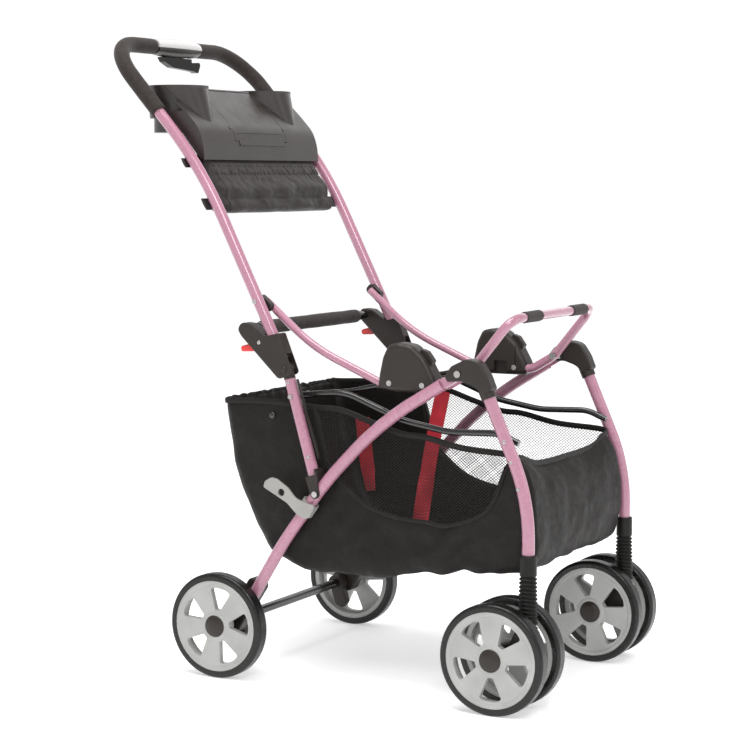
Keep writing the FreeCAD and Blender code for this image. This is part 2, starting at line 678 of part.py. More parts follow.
# ---------------------------------------------------------------- seat frame
HUMP_OUTLINE = [(-108, 494), (-111, 518), (-117, 545), (-127, 565), (-145, 569), (-169, 566),
                (-192, 546), (-209, 516), (-217, 498), (-208, 490), (-140, 490)]
SEAT_RAIL = [(106, 628), (20, 556), (-108, 502)]
LOOP_ARM = [(-196, 500), (-222, 502), (-262, 526), (-324, 602), (-333, 611)]
SLEEVE_RAD = 9.3


def seat_rail(side, word):
    half = side * size("seat_half")
    shell, outer = tube("seat_rail_" + word, side_path(half, SEAT_RAIL), 330, "rail_rad")
    finish_node(shell, "seat_rail_" + word)
    return outer


def rail_ends():
    """The plastic spacers between the seat rails and the handle tubes."""
    parts = []
    for word, side in SIDES.items():
        seat, gap = size("seat_half") + size("rail_rad"), size("clear_gap")
        inner_face = size("frame_half") - size("handle_rad") - gap
        ends = [along(SEAT_RAIL[0], SEAT_RAIL[1], *place) for place in
                ((-10, 8.5), (20, 8.5), (20, -8.5), (-10, -8.5))]
        parts.append(side_plate("rail_end_" + word, side, ends, 6, seat, inner_face - seat))
    group = doc.addObject("Part::Compound", "rail_ends_group")
    group.Links = parts
    finish_node(group, "rail_ends")


def front_loop():
    half, front = size("loop_half"), LOOP_ARM[-1]
    near = side_path(-half, LOOP_ARM[:-1])
    far = side_path(half, LOOP_ARM[:-1])[::-1]
    corner = half - 22
    points = near + [(-corner, *front), (corner, *front)] + far
    radii = [0, 40, 45, 22, 26, 26, 22, 45, 40, 0]
    shell, outer = tube("front_loop", points, radii, "loop_rad")
    holes = [cross_bar("loop_hole_" + word, ELBOW_PIN_RAD + size("running_gap"), side, 150, 180,
                       PIVOT_ELBOW) for word, side in SIDES.items()]
    finish_node(cut("front_loop", shell, holes), "front_loop")
    sleeves = []
    for word, side in SIDES.items():
        low, high = sorted((side * 62, side * 124))
        foam = bar("sleeve_bar_" + word, SLEEVE_RAD, low, high, *front)
        core = bar("sleeve_core_" + word, size("loop_rad"), low - 1, high + 1, *front)
        sleeves.append(cut("sleeve_" + word, foam, [core]))
    group = doc.addObject("Part::Compound", "loop_sleeves_group")
    group.Links = sleeves
    finish_node(group, "loop_sleeves")
    return outer


def latch_hump(side, word, rail, loop):
    """The housing on the seat rail that the infant carrier latches on to."""
    block = side_plate("hump_block_" + word, side, HUMP_OUTLINE, [5, 40, 30, 12, 30, 24, 30, 30, 5,
                       5, 20], size("hump_inner"), "Sizes.hump_thick", "Sizes.hump_round")
    tooth_outline = [(-178, 540), (-181, 560), (-192, 556), (-203, 541), (-196, 528)]
    tooth = side_plate("hump_tooth_" + word, side, tooth_outline, 2, 169, 12.0)
    block = fuse("hump_whole_" + word, [block, tooth])
    notch_outline = [(-176, 470), (-176, 514), (-152, 514), (-152, 470)]
    notch = side_plate("hump_notch_" + word, side, notch_outline, 0, 150, 14.0)
    seam_outline = [(-192.5, 500), (-192.5, 545), (-191, 545), (-191, 500)]
    seam = side_plate("hump_seam_" + word, side, seam_outline, 0, 150, 8.0)
    finish_node(cut("latch_hump_" + word, block, [rail, loop, notch, seam]), "latch_hump_" + word)


def seat_bolts():
    """Two bolts through each latch housing."""
    parts = []
    for word, side in SIDES.items():
        for i, place in enumerate(((-131, 504), (-190, 503))):
            head = cross_bar("seat_bolt_%s%d" % (word, i), 4.5, side, 194.5, 195.6, place)
            parts.append(head)
            nut = cross_bar("seat_nut_%s%d" % (word, i), 4.5, side, 154.4, 156.0, place)
            parts.append(nut)
    group = doc.addObject("Part::Compound", "seat_bolts_group")
    group.Links = parts
    finish_node(group, "seat_bolts")


# ---------------------------------------------------------------- front legs
FRONT_LEG = [(-300, 514), (-366, 366), (-379, 302), (-379, 246)]
ELBOW_OUTLINE = [(-238, 523), (-250, 538), (-277, 551), (-298, 546), (-312, 525), (-321, 503),
                 (-303, 496), (-290, 508), (-268, 515), (-243, 513)]


def front_leg(side, word):
    half = side * size("front_half")
    shell, outer = tube("front_leg_" + word, side_path(half, FRONT_LEG), 620, "leg_rad")
    finish_node(shell, "front_leg_" + word)
    return outer


def elbow(side, word, leg):
    block = side_plate("elbow_block_" + word, side, ELBOW_OUTLINE,
                       [5, 12, 24, 20, 40, 5, 5, 30, 20, 5], size("elbow_inner"),
                       "Sizes.elbow_thick", "Sizes.plastic_round")
    half = side * size("front_half")
    ends = [along(FRONT_LEG[0], FRONT_LEG[1], distance) for distance in (6, 27)]
    collar = solid_sweep("elbow_collar_" + word, side_path(half, ends), 0, "collar_rad")
    y, z = PIVOT_ELBOW
    gap_outline = [(y - 11, z + 6), (y - 6, z + 11), (y + 6, z + 11), (y + 40, z - 2),
                   (y + 40, z - 50), (y - 14, z - 50), (y - 11, z - 6)]
    gap = side_plate("elbow_gap_" + word, side, gap_outline, 0, TONGUE_INNER - 0.3,
                     TONGUE_THICK + 0.6)
    hole = cross_bar("elbow_hole_" + word, ELBOW_PIN_RAD + size("running_gap"), side, 180, 230,
                     PIVOT_ELBOW)
    whole = fuse("elbow_whole_" + word, [block, collar])
    finish_node(cut("elbow_" + word, whole, [leg, gap, hole]), "elbow_" + word)


def boot(side, word):
    """The bellows over the suspension stem: a smooth collar above a row of ribs."""
    body = doc.addObject("PartDesign::Body", "boot_body_" + word)
    sketch = body.newObject("Sketcher::SketchObject", "boot_outline_" + word)
    sketch.AttachmentSupport = [(origin_plane(body, "XZ_Plane"), "")]
    sketch.MapMode = "FlatFace"
    x, y = side * size("front_half"), size("caster_y")
    sketch.AttachmentOffset = FreeCAD.Placement(vec(x, 0, -y), FreeCAD.Rotation())
    low, top, rad = size("boot_low"), size("boot_top"), size("boot_rad")
    pitch, collar, core = size("rib_pitch"), 218.0, size("leg_rad") + size("clear_gap")
    points = [(core, low), (core, top), (rad - 1, top), (rad, top - 2), (rad, collar)]
    ribs = int((collar - low) / pitch)
    for i in range(ribs):
        above = collar - i * pitch
        wide = rad + 0.5 + (size("boot_flare") - 0.5) * i / (ribs - 1)
        points += [(wide - 2.4, above - 0.35 * pitch), (wide - 2.4, above - 0.5 * pitch),
                   (wide, above - 0.8 * pitch), (wide, above - pitch)]
    points[-1] = (wide, low)
    flat = [(r, z, 0) for r, z in points]
    sketch.addGeometry(round_corners(flat, 0, True), False)
    turned = body.newObject("PartDesign::Revolution", "boot_turned_" + word)
    turned.Profile = sketch
    turned.ReferenceAxis = (sketch, ["V_Axis"])
    turned.Angle = 360
    finish_node(body, "boot_" + word)


# ---------------------------------------------------------------- struts, casters and wheels
def strut(side, word):
    """The stem that slides in the front leg, with the caster's swivel pin below it."""
    x, y = side * size("front_half"), size("caster_y")
    stem = bar("stem_" + word, size("stem_rad"), 137, 262, x, y, "z")
    flange = bar("flange_" + word, 13.5, 136.5, 141, x, y, "z")
    pin = bar("swivel_pin_" + word, 6.0, 102, 137, x, y, "z")
    finish_node(fuse("strut_" + word, [stem, flange, pin]), "strut_" + word)


def caster(side, word):
    half, y = size("front_half"), size("caster_y")
    hub = (y + size("caster_trail"), size("hub_height"))
    thick = 34.0
    outline = [(y - 15, 132), (y + 15, 132), (y + 24, 112), (hub[0] + 17, 100),
               (hub[0] + 17, 76), (hub[0] + 6, 70), (hub[0] - 12, 74), (y - 12, 100)]
    block = side_plate("caster_block_" + word, side, outline, 8, half - thick / 2, thick,
                       "Sizes.plastic_round")
    collar = bar("caster_collar_" + word, 15.5, 104, 136, side * half, y, "z")
    reach = size("dual_gap_half") + 12
    axle = cross_bar("caster_axle_" + word, size("axle_rad"), side, half - reach, half + reach, hub)
    hole = bar("caster_hole_" + word, 6.0 + size("running_gap"), 101, 140, side * half, y, "z")
    whole = fuse("caster_whole_" + word, [block, collar, axle])
    finish_node(cut("caster_" + word, whole, [hole]), "caster_" + word)


WHEEL_PHASES = {"front_wheel_right_outer": 36, "front_wheel_left_inner": -12,
                "front_wheel_right_inner": 20, "rear_wheel_right": 10}


def wheel(label, x, y, face):
    """A five-spoke wheel and its tyre, turned about X; face is the side its spokes show on."""
    z = size("hub_height")
    phase = WHEEL_PHASES.get(label, 0)
    place = FreeCAD.Placement(vec(x, y, z), FreeCAD.Rotation(vec(1, 0, 0), phase)
                              * FreeCAD.Rotation(vec(0, 1, 0), 90 * face))
    rim, hub, bore = size("rim_rad"), size("hub_rad"), size("bore_rad")
    wide, hub_wide, web, lip = size("tyre_wide"), size("hub_wide"), size("web_thick"), size("rim_lip")
    outline = [(bore, -hub_wide / 2), (hub, -hub_wide / 2), (hub, 1), (rim - lip, 1),
               (rim - lip, 1 - wide / 2), (rim, 1 - wide / 2), (rim, wide / 2 - 0.5),
               (rim - lip + 3, wide / 2 - 0.5), (rim - lip, 1 + web), (hub + 4, 1 + web),
               (hub, hub_wide / 2 - 1), (bore, hub_wide / 2 - 1)]
    body = revolved(label, outline, 0)
    window = body.newObject("Sketcher::SketchObject", label + "_window")
    window.AttachmentSupport = [(origin_plane(body, "XY_Plane"), "")]
    window.MapMode = "FlatFace"
    near, far = size("window_near"), size("window_far")
    corners = [(near, -4.5), (far - 3, -19.5), (far + 1.5, -9), (far + 1.5, 9), (far - 3, 19.5),
               (near, 4.5)]
    flat = [(a, b, 0) for a, b in corners]
    window.addGeometry(round_corners(flat, [3, 4, 20, 20, 4, 3], True), False)
    pocket = body.newObject("PartDesign::Pocket", label + "_opening")
    pocket.Profile = window
    pocket.Reversed = True
    pocket.Length = 20
    doc.recompute()
    pattern = body.newObject("PartDesign::PolarPattern", label + "_openings")
    pattern.Originals = [pocket]
    pattern.Axis = (origin_plane(body, "Z_Axis"), [""])
    pattern.Angle = 360
    pattern.Occurrences = 5
    body.Tip = pattern
    body.Placement = place
    finish_node(body, label)
    ring_outline = [(rim, -wide / 2), (rim, wide / 2), (size("wheel_rad"), wide / 2),
                    (size("wheel_rad"), -wide / 2)]
    tyre = revolved(label.replace("wheel", "tyre"), ring_outline, [0, 0, 1, 1])
    tyre.Placement = place
    finish_node(tyre, label.replace("wheel", "tyre"))


def revolved(label, outline, corner_share):
    """A ring turned about its own Z axis; outline is (radius, height)."""
    body = doc.addObject("PartDesign::Body", label + "_body")
    sketch = body.newObject("Sketcher::SketchObject", label + "_outline")
    sketch.AttachmentSupport = [(origin_plane(body, "XZ_Plane"), "")]
    sketch.MapMode = "FlatFace"
    radii = 0
    if corner_share:
        radii = [share * size("tyre_round") for share in corner_share]
    flat = [(r, h, 0) for r, h in outline]
    sketch.addGeometry(round_corners(flat, radii, True), False)
    turned = body.newObject("PartDesign::Revolution", label + "_turned")
    turned.Profile = sketch
    turned.ReferenceAxis = (sketch, ["V_Axis"])
    turned.Angle = 360
    doc.recompute()
    return body


# ---------------------------------------------------------------- basket rails
WIRE_MAIN = [(52, 474), (-42, 484.2), (-150, 443), (-230, 430), (-318, 433), (-352, 419)]
WIRE_STAY = [(52, 474), (-46, 484.6), (-96, 496)]


def basket_wire(side, word):
    """The rail that carries the basket's rim, and the short stay beside it."""
    main = solid_sweep("wire_main_" + word, side_path(side * size("wire_half"), WIRE_MAIN),
                       [0, 110, 160, 160, 60, 0], "wire_rad")
    stay = solid_sweep("wire_stay_" + word, side_path(side * size("stay_half"), WIRE_STAY), 120,
                       "wire_rad", -1.0)
    end = along(WIRE_MAIN[0], WIRE_MAIN[1], 4)
    low, high = sorted((side * size("stay_half"), side * size("wire_half")))
    tie = bar("wire_tie_" + word, 3.5, low, high, *end)
    hole = cross_bar("wire_hole_" + word, SMALL_PIN_RAD + size("running_gap"), side, 150, 200,
                     PIVOT_WIRE)
    whole = fuse("wire_" + word, [main, stay, tie])
    finish_node(cut("basket_rail_" + word, whole, [hole]), "basket_rail_" + word)


# ---------------------------------------------------------------- assembly
def build():
    rear_axle()
    frame_pins()
    storage_clip()
    handle = upper_handle()
    handle_grips(handle)
    handle_housing(handle)
    release_trigger()
    middle_bar()
    parent_tray()
    tray_lid()
    pouch()
    basket()
    rail_ends()
    seat_bolts()
    lower_pins()
    loop = front_loop()
    for word, side in SIDES.items():
        rear_foot(side, word, rear_leg(side, word))
        brake_lever(side, word)
        lower_handle(side, word)
        knuckle(side, word, handle)
        release_latch(side, word)
        latch_hump(side, word, seat_rail(side, word), loop)
        elbow(side, word, front_leg(side, word))
        boot(side, word)
        strut(side, word)
        caster(side, word)
        basket_wire(side, word)
        rear_half = side * size("rear_wheel_half")
        wheel("rear_wheel_" + word, rear_half, size("rear_axle_y"), side)
        hub_y = size("caster_y") + size("caster_trail")
        for place, offset in (("outer", 1), ("inner", -1)):
            x = side * (size("front_half") + offset * size("dual_gap_half"))
            wheel("front_wheel_%s_%s" % (word, place), x, hub_y, side * offset)


build()
doc.recompute()
for thing in doc.Objects:
    if "Invalid" in thing.State or "Error" in thing.State:
        raise RuntimeError("%s failed: %s" % (thing.Name, thing.State))
os.makedirs("parts", exist_ok=True)
for node in nodes:
    if node.Shape.isNull() or not node.Shape.isValid():
        raise RuntimeError("%s has no valid shape" % node.Label)
    print(node.Label, len(node.Shape.Solids), round(node.Shape.Volume / 1000, 1))
    node.Shape.exportStep("parts/%s.step" % node.Label)
print(len(nodes), "nodes")
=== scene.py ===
"""Looks for the infant-carrier frame stroller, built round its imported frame. Metres."""
import bmesh
import bpy
import json
import math
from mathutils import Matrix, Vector, noise

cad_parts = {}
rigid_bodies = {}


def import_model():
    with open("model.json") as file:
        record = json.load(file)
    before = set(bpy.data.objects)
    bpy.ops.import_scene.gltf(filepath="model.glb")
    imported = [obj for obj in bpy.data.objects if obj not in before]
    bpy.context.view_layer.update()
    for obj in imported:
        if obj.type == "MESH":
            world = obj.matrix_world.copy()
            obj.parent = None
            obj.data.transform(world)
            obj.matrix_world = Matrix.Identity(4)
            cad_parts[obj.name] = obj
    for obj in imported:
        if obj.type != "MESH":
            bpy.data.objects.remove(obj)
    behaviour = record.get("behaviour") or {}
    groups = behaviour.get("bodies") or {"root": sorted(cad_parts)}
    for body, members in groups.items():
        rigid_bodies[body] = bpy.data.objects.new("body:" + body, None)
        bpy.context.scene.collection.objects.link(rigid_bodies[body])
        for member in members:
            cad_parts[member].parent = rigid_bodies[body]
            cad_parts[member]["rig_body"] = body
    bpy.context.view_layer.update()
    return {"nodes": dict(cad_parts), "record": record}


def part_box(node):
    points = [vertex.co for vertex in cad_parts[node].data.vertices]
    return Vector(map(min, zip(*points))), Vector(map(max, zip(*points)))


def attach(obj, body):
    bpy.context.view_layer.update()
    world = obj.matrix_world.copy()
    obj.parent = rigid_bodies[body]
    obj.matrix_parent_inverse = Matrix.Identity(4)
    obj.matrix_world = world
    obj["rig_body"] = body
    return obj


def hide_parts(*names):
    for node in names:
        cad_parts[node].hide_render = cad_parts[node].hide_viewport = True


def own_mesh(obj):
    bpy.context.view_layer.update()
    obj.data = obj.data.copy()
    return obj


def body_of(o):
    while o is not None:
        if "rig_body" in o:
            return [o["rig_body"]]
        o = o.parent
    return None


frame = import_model()
NODES = frame["nodes"]
SIDES = {"right": -1, "left": 1}
MM = 0.001

# ---------------------------------------------------------------- colours
PINK = (0.385, 0.172, 0.242)
SOFT_BLACK = (0.021, 0.016, 0.0135)
TRAY_BLACK = (0.022, 0.017, 0.0155)
FOAM_BLACK = (0.023, 0.017, 0.015)
CLOTH_BLACK = (0.0078, 0.0064, 0.0056)
POUCH_BLACK = (0.017, 0.0125, 0.012)
NET_BLACK = (0.014, 0.012, 0.011)
GREY_WHEEL = (0.34, 0.34, 0.33)
SILVER = (0.52, 0.51, 0.505)
RED = (0.62, 0.035, 0.035)
WEB_RED = (0.50, 0.030, 0.045)
CLIP_GREY = (0.30, 0.29, 0.275)
TYRE_BLACK = (0.006, 0.0056, 0.0052)
BOOT_BLACK = (0.005, 0.0045, 0.004)
WIRE_BLACK = (0.006, 0.0055, 0.005)
STEEL = (0.42, 0.41, 0.40)


# ---------------------------------------------------------------- materials
class Nodes:
    """A material's node tree, with short ways to add and link nodes."""

    def __init__(self, name):
        self.material = bpy.data.materials.new(name)
        self.material.use_nodes = True
        self.tree = self.material.node_tree
        self.shader = self.tree.nodes["Principled BSDF"]
        self.place = self.add("ShaderNodeTexCoord").outputs["Object"]

    def add(self, kind, **settings):
        node = self.tree.nodes.new(kind)
        for key, value in settings.items():
            setattr(node, key, value)
        return node

    def link(self, source, target):
        self.tree.links.new(source, target)

    def noise(self, scale, detail=3.0, rough=0.5):
        node = self.add("ShaderNodeTexNoise")
        node.inputs["Scale"].default_value = scale
        node.inputs["Detail"].default_value = detail
        node.inputs["Roughness"].default_value = rough
        self.link(self.place, node.inputs["Vector"])
        return node.outputs["Fac"]

    def spread(self, source, low, high):
        """Stretches the middle half of a 0..1 source over low..high, cut off at both ends."""
        node = self.add("ShaderNodeMapRange")
        node.inputs["From Min"].default_value = 0.25
        node.inputs["From Max"].default_value = 0.75
        node.inputs["To Min"].default_value = low
        node.inputs["To Max"].default_value = high
        self.link(source, node.inputs["Value"])
        return node.outputs["Result"]

    def tint(self, source, dark, light):
        """A base colour between dark and light, driven by a 0..1 source."""
        node = self.add("ShaderNodeMix", data_type="RGBA")
        node.inputs["A"].default_value = (*dark, 1.0)
        node.inputs["B"].default_value = (*light, 1.0)
        self.link(source, node.inputs["Factor"])
        self.link(node.outputs["Result"], self.shader.inputs["Base Color"])

    def bump(self, height, strength, depth, under=None):
        node = self.add("ShaderNodeBump")
        node.inputs["Strength"].default_value = strength
        node.inputs["Distance"].default_value = depth
        self.link(height, node.inputs["Height"])
        if under is not None:
            self.link(under, node.inputs["Normal"])
        return node.outputs["Normal"]

    def mottle(self, colour, dark, light, *grain):
        """Patches between two shades of one colour; grain is what noise() takes."""
        patches = self.spread(self.noise(*grain), 0.0, 1.0)
        self.tint(patches, shade(colour, dark), shade(colour, light))

    def uneven(self, low, high, *grain):
        """Roughness that drifts between low and high."""
        self.link(self.spread(self.noise(*grain), low, high), self.shader.inputs["Roughness"])

    def relief(self, normal):
        self.link(normal, self.shader.inputs["Normal"])

    def above(self, level, step=0.01):
        """1 over a share of the piece's height, 0 under it, with a narrow step between."""
        place = self.add("ShaderNodeTexCoord").outputs["Generated"]
        split = self.add("ShaderNodeSeparateXYZ")
        self.link(place, split.inputs["Vector"])
        node = self.add("ShaderNodeMapRange")
        node.inputs["From Min"].default_value = level - step
        node.inputs["From Max"].default_value = level + step
        self.link(split.outputs["Z"], node.inputs["Value"])
        return node.outputs["Result"]

    def set(self, **values):
        for key, value in values.items():
            self.shader.inputs[key.replace("_", " ")].default_value = value


def shade(colour, factor):
    return tuple(min(1.0, channel * factor) for channel in colour)


def painted(name, colour, rough=0.26, coat=0.8):
    """Powder coat or paint on metal: faint orange peel and slightly uneven gloss."""
    made = Nodes(name)
    made.mottle(colour, 0.93, 1.05, 14.0)
    made.uneven(rough - 0.05, rough + 0.09, 60.0)
    made.relief(made.bump(made.noise(260.0, 1.0), 0.05, 0.0002))
    made.set(Coat_Weight=coat, Coat_Roughness=0.09)
    return made.material


def moulded(name, colour, rough=0.46, grain=1400.0, strength=0.22, level=0.5):
    """Moulded plastic with a fine spark-eroded grain and a little uneven sheen."""
    made = Nodes(name)
    made.mottle(colour, 0.88, 1.14, 20.0, 5.0)
    made.uneven(rough - 0.06, rough + 0.08, 45.0, 4.0)
    made.relief(made.bump(made.noise(grain, 2.0), strength, 0.0003))
    made.set(Specular_IOR_Level=level)
    return made.material


def foam(name, colour):
    """Closed-cell foam: small cells under a soft skin."""
    made = Nodes(name)
    cells = made.add("ShaderNodeTexVoronoi")
    cells.inputs["Scale"].default_value = 700.0
    made.link(made.place, cells.inputs["Vector"])
    made.mottle(colour, 0.75, 1.3, 120.0, 6.0)
    made.relief(made.bump(cells.outputs["Distance"], 0.35, 0.0004))
    made.set(Roughness=0.78, Sheen_Weight=0.10, Sheen_Roughness=0.5, Specular_IOR_Level=0.25)
    return made.material


def metal(name, colour, rough=0.25):
    """Bare bright metal with fine scuffs."""
    made = Nodes(name)
    made.mottle(colour, 0.85, 1.1, 300.0, 4.0)
    made.uneven(rough - 0.06, rough + 0.1, 500.0)
    made.relief(made.bump(made.noise(1500.0, 1.0), 0.15, 0.0001))
    made.set(Metallic=1.0)
    return made.material


def rubber(name, colour, rough=0.36, level=0.5):
    """Smooth tyre rubber with scuffs and dust in its pores."""
    made = Nodes(name)
    made.mottle(colour, 0.7, 1.8, 80.0, 6.0, 0.7)
    made.uneven(rough - 0.08, rough + 0.16, 140.0, 5.0)
    made.relief(made.bump(made.noise(600.0, 4.0), 0.18, 0.0004))
    made.set(Specular_IOR_Level=level)
    return made.material


def woven(name, colour, pitch=0.0009, rough=0.56, sheen=0.1, crease=0.3, vary=0.18, level=0.35):
    """Plain-woven nylon: crossing threads, slubs, and soft creases under them."""
    made = Nodes(name)
    waves = []
    for axes in ((1.0, 1.0, 0.15), (1.0, -1.0, 0.15)):
        turn = made.add("ShaderNodeMapping")
        turn.inputs["Scale"].default_value = axes
        made.link(made.place, turn.inputs["Vector"])
        wave = made.add("ShaderNodeTexWave", bands_direction="DIAGONAL")
        wave.inputs["Scale"].default_value = 0.3 / pitch
        wave.inputs["Distortion"].default_value = 0.3
        made.link(turn.outputs["Vector"], wave.inputs["Vector"])
        waves.append(wave.outputs["Fac"])
    cross = made.add("ShaderNodeMath", operation="MAXIMUM")
    made.link(waves[0], cross.inputs[0])
    made.link(waves[1], cross.inputs[1])
    made.mottle(colour, 1 - vary, 1 + 2 * vary, 35.0, 6.0, 0.65)
    soft = made.bump(made.noise(38.0, 4.0, 0.6), crease, 0.006)
    made.relief(made.bump(cross.outputs["Value"], 0.25, 0.0002, soft))
    made.uneven(rough - 0.08, rough + 0.1, 90.0, 4.0)
    made.set(Sheen_Weight=sheen, Sheen_Roughness=0.4, Specular_IOR_Level=level)
    return made.material


def two_tone(name, upper, lower, level, rough):
    """Painted shell over a dark lower half, parted at a share of the height."""
    made = Nodes(name)
    made.tint(made.above(level), lower, upper)
    made.uneven(rough - 0.04, rough + 0.08, 60.0)
    made.relief(made.bump(made.noise(1600.0, 2.0), 0.08, 0.0002))
    return made.material


LOOKS = {
    "pink_paint": painted("pink_paint", PINK),
    "black_metal": painted("black_metal", WIRE_BLACK, 0.2, 0.5),
    "screw_steel": metal("screw_steel", STEEL, 0.22),
    "grey_plastic": moulded("clip_grey", CLIP_GREY, 0.5),
    "silver_plastic": moulded("silver_paint", SILVER, 0.33, 1800.0, 0.10),
    "black_plastic": moulded("black_plastic", SOFT_BLACK, 0.42, 1300.0, 0.2, 0.35),
    "tray_plastic": moulded("tray_plastic", TRAY_BLACK, 0.30, 1500.0, 0.10, 0.6),
    "red_plastic": moulded("red_plastic", RED, 0.35),
    "foam": foam("foam", FOAM_BLACK),
    "black_rubber": rubber("boot_rubber", BOOT_BLACK, 0.42, 0.25),
    "black_cloth": woven("black_cloth", CLOTH_BLACK, sheen=0.03, level=0.2),
    "wheel_grey": moulded("wheel_grey", GREY_WHEEL, 0.38, 1800.0, 0.12),
    "tyre": rubber("tyre_rubber", TYRE_BLACK, 0.26, 0.35),
}
POUCH_CLOTH = woven("pouch_cloth", POUCH_BLACK, 0.0008, 0.5, 0.06, 0.35, 0.15, 0.28)
NET_THREAD = woven("net_thread", NET_BLACK, 0.0004, 0.7, 0.1, 0.05)
BINDING = woven("binding_tape", shade(CLOTH_BLACK, 0.9), 0.0012, 0.6, 0.08, 0.1, 0.1, 0.25)
WEBBING = woven("red_webbing", WEB_RED, 0.0014, 0.5, 0.15, 0.06)
NODE_LOOKS = {
    "handle_housing": two_tone("housing_paint", SILVER, SOFT_BLACK, 0.46, 0.3),
    "release_trigger": moulded("trigger_gloss", shade(SOFT_BLACK, 0.3), 0.22, 900.0, 0.05, 0.2),
}


def dress_frame():
    """Gives each CAD node its own look if it has one, or else the look of its material slot."""
    for part in frame["record"]["subparts"]:
        node = NODES[part["node"]]
        node.data.materials.clear()
        look = NODE_LOOKS.get(part["node"], LOOKS[part["material_slot"]])
        node.data.materials.append(look)


# ---------------------------------------------------------------- mesh helpers
def make_piece(name, points, faces, look, body, slot, smooth=True):
    """A visible piece that rides on a body, with one look in one material slot. The slot argument
    is not used.
    """
    mesh = bpy.data.meshes.new(name)
    mesh.from_pydata([tuple(p) for p in points], [], faces)
    mesh.update()
    if smooth:
        mesh.shade_smooth()
    piece = bpy.data.objects.new(name, mesh)
    bpy.context.scene.collection.objects.link(piece)
    mesh.materials.append(look)
    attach(piece, body)
    return piece


def make_tidy(*what, **more):
    """make_piece, with doubled points merged and faces turned outwards."""
    piece = make_piece(*what, **more)
    work = bmesh.new()
    work.from_mesh(piece.data)
    bmesh.ops.remove_doubles(work, verts=work.verts, dist=1e-6)
    bmesh.ops.recalc_face_normals(work, faces=work.faces)
    work.to_mesh(piece.data)
    work.free()
    return piece


def body_name(node):
    """The body a CAD node rides on, or the first of them where it has more."""
    body = body_of(NODES[node])
    return body if isinstance(body, str) else body[0]


def thicken(piece, thickness):
    """Gives a cloth surface its thickness, half to each side."""
    thick = piece.modifiers.new("thick", "SOLIDIFY")
    thick.thickness = thickness
    thick.offset = 0.0


def bake_modifiers(piece):
    """Replaces a piece's mesh by what its modifiers make of it."""
    graph = bpy.context.evaluated_depsgraph_get()
    mesh = bpy.data.meshes.new_from_object(piece.evaluated_get(graph))
    piece.modifiers.clear()
    piece.data = mesh


def lathe(profile, steps=48):
    """Points and faces of a profile (radius, height) turned about Z."""
    points, faces = [], []
    for i in range(steps):
        angle = 2 * math.pi * i / steps
        for radius, height in profile:
            points.append(Vector((radius * math.cos(angle), radius * math.sin(angle), height)))
    rows = len(profile)
    for i in range(steps):
        after = (i + 1) % steps
        for j in range(rows - 1):
            faces.append((i * rows + j, after * rows + j, after * rows + j + 1, i * rows + j + 1))
    return points, faces


def turned(profile, steps, direction, place):
    """A lathed profile stood at a place, with its axis along a direction."""
    points, faces = lathe(profile, steps)
    turn = Vector((0, 0, 1)).rotation_difference(Vector(direction)).to_matrix()
    return [turn @ p + place for p in points], faces


def in_metres(pairs):
    return [(a * MM, b * MM) for a, b in pairs]


def smooth_line(points, count):
    """A Catmull-Rom line through the points, at even steps."""
    points = [Vector(p) for p in points]
    ends = [2 * points[0] - points[1]] + points + [2 * points[-1] - points[-2]]
    fine = []
    for i in range(1, len(ends) - 2):
        a, b, c, d = ends[i - 1:i + 3]
        for k in range(24):
            t = k / 24
            fine.append(0.5 * ((2 * b) + (c - a) * t + (2 * a - 5 * b + 4 * c - d) * t * t
                               + (3 * b - a - 3 * c + d) * t ** 3))
    fine.append(points[-1])
    return resample(fine, count)


def resample(line, count):
    """Points at even distances along a line of straight steps."""
    lengths = [0.0]
    for a, b in zip(line[:-1], line[1:]):
        lengths.append(lengths[-1] + (b - a).length)
    even, j = [], 0
    for i in range(count):
        want = lengths[-1] * i / (count - 1)
        while j < len(line) - 2 and lengths[j + 1] < want:
            j += 1
        step = lengths[j + 1] - lengths[j]
        share = (want - lengths[j]) / step if step else 0.0
        even.append(line[j].lerp(line[j + 1], share))
    return even


def sweep_mesh(line, ring, closed=False, caps=True):
    """A ring of (across, up) offsets carried along a line; returns points and faces."""
    points, faces = [], []
    count = len(line)
    up = Vector((0, 0, 1))
    for i, here in enumerate(line):
        before = line[i - 1] if i or closed else here
        after = line[(i + 1) % count] if i < count - 1 or closed else here
        run = (after - before).normalized()
        across = run.cross(up)
        if across.length < 0.05:
            across = Vector((1, 0, 0))
        across.normalize()
        lift = across.cross(run).normalized()
        shape = ring(i / (count - 1)) if callable(ring) else ring
        points += [here + across * a + lift * b for a, b in shape]
    size = len(points) // count
    for i in range(count if closed else count - 1):
        nxt = (i + 1) % count
        for j in range(size):
            k = (j + 1) % size
            faces.append((i * size + j, i * size + k, nxt * size + k, nxt * size + j))
    if caps and not closed:
        faces.append(tuple(range(size))[::-1])
        faces.append(tuple(range((count - 1) * size, count * size)))
    return points, faces


def oval(wide, tall, steps):
    """A closed section of (across, up) offsets."""
    turns = [2 * math.pi * i / steps for i in range(steps)]
    return [(wide * math.cos(turn), tall * math.sin(turn)) for turn in turns]


def circle(radius, steps):
    return oval(radius, radius, steps)


def strip(width, thick):
    """A flat webbing section, with its edges slightly rounded."""
    w, t = width / 2, thick / 2
    return [(-w, 0), (-w + t, -t), (w - t, -t), (w, 0), (w - t, t), (-w + t, t)]


# ---------------------------------------------------------------- stage
CAMERA_PLACE = (-3.0191, -1.6318, 0.8297)
CAMERA_AZIMUTH = math.radians(-61.62)
CAMERA_ELEVATION = math.radians(5.58)
CAMERA_LENS = 96.85
SENSOR_WIDTH = 36.0
CLIP_END = 60.0
SKY_STRENGTH = 1.02
# White at the horizon and darker overhead; "From" is the upward part of a unit direction.
SKY_RAMP = {"From Min": 0.16, "From Max": 0.42, "To Min": 1.0, "To Max": 0.55}
FLOOR_REACH = 14.0
FLOOR_GREY = (0.96, 0.96, 0.96, 1.0)
FLOOR_GLOW = 0.42
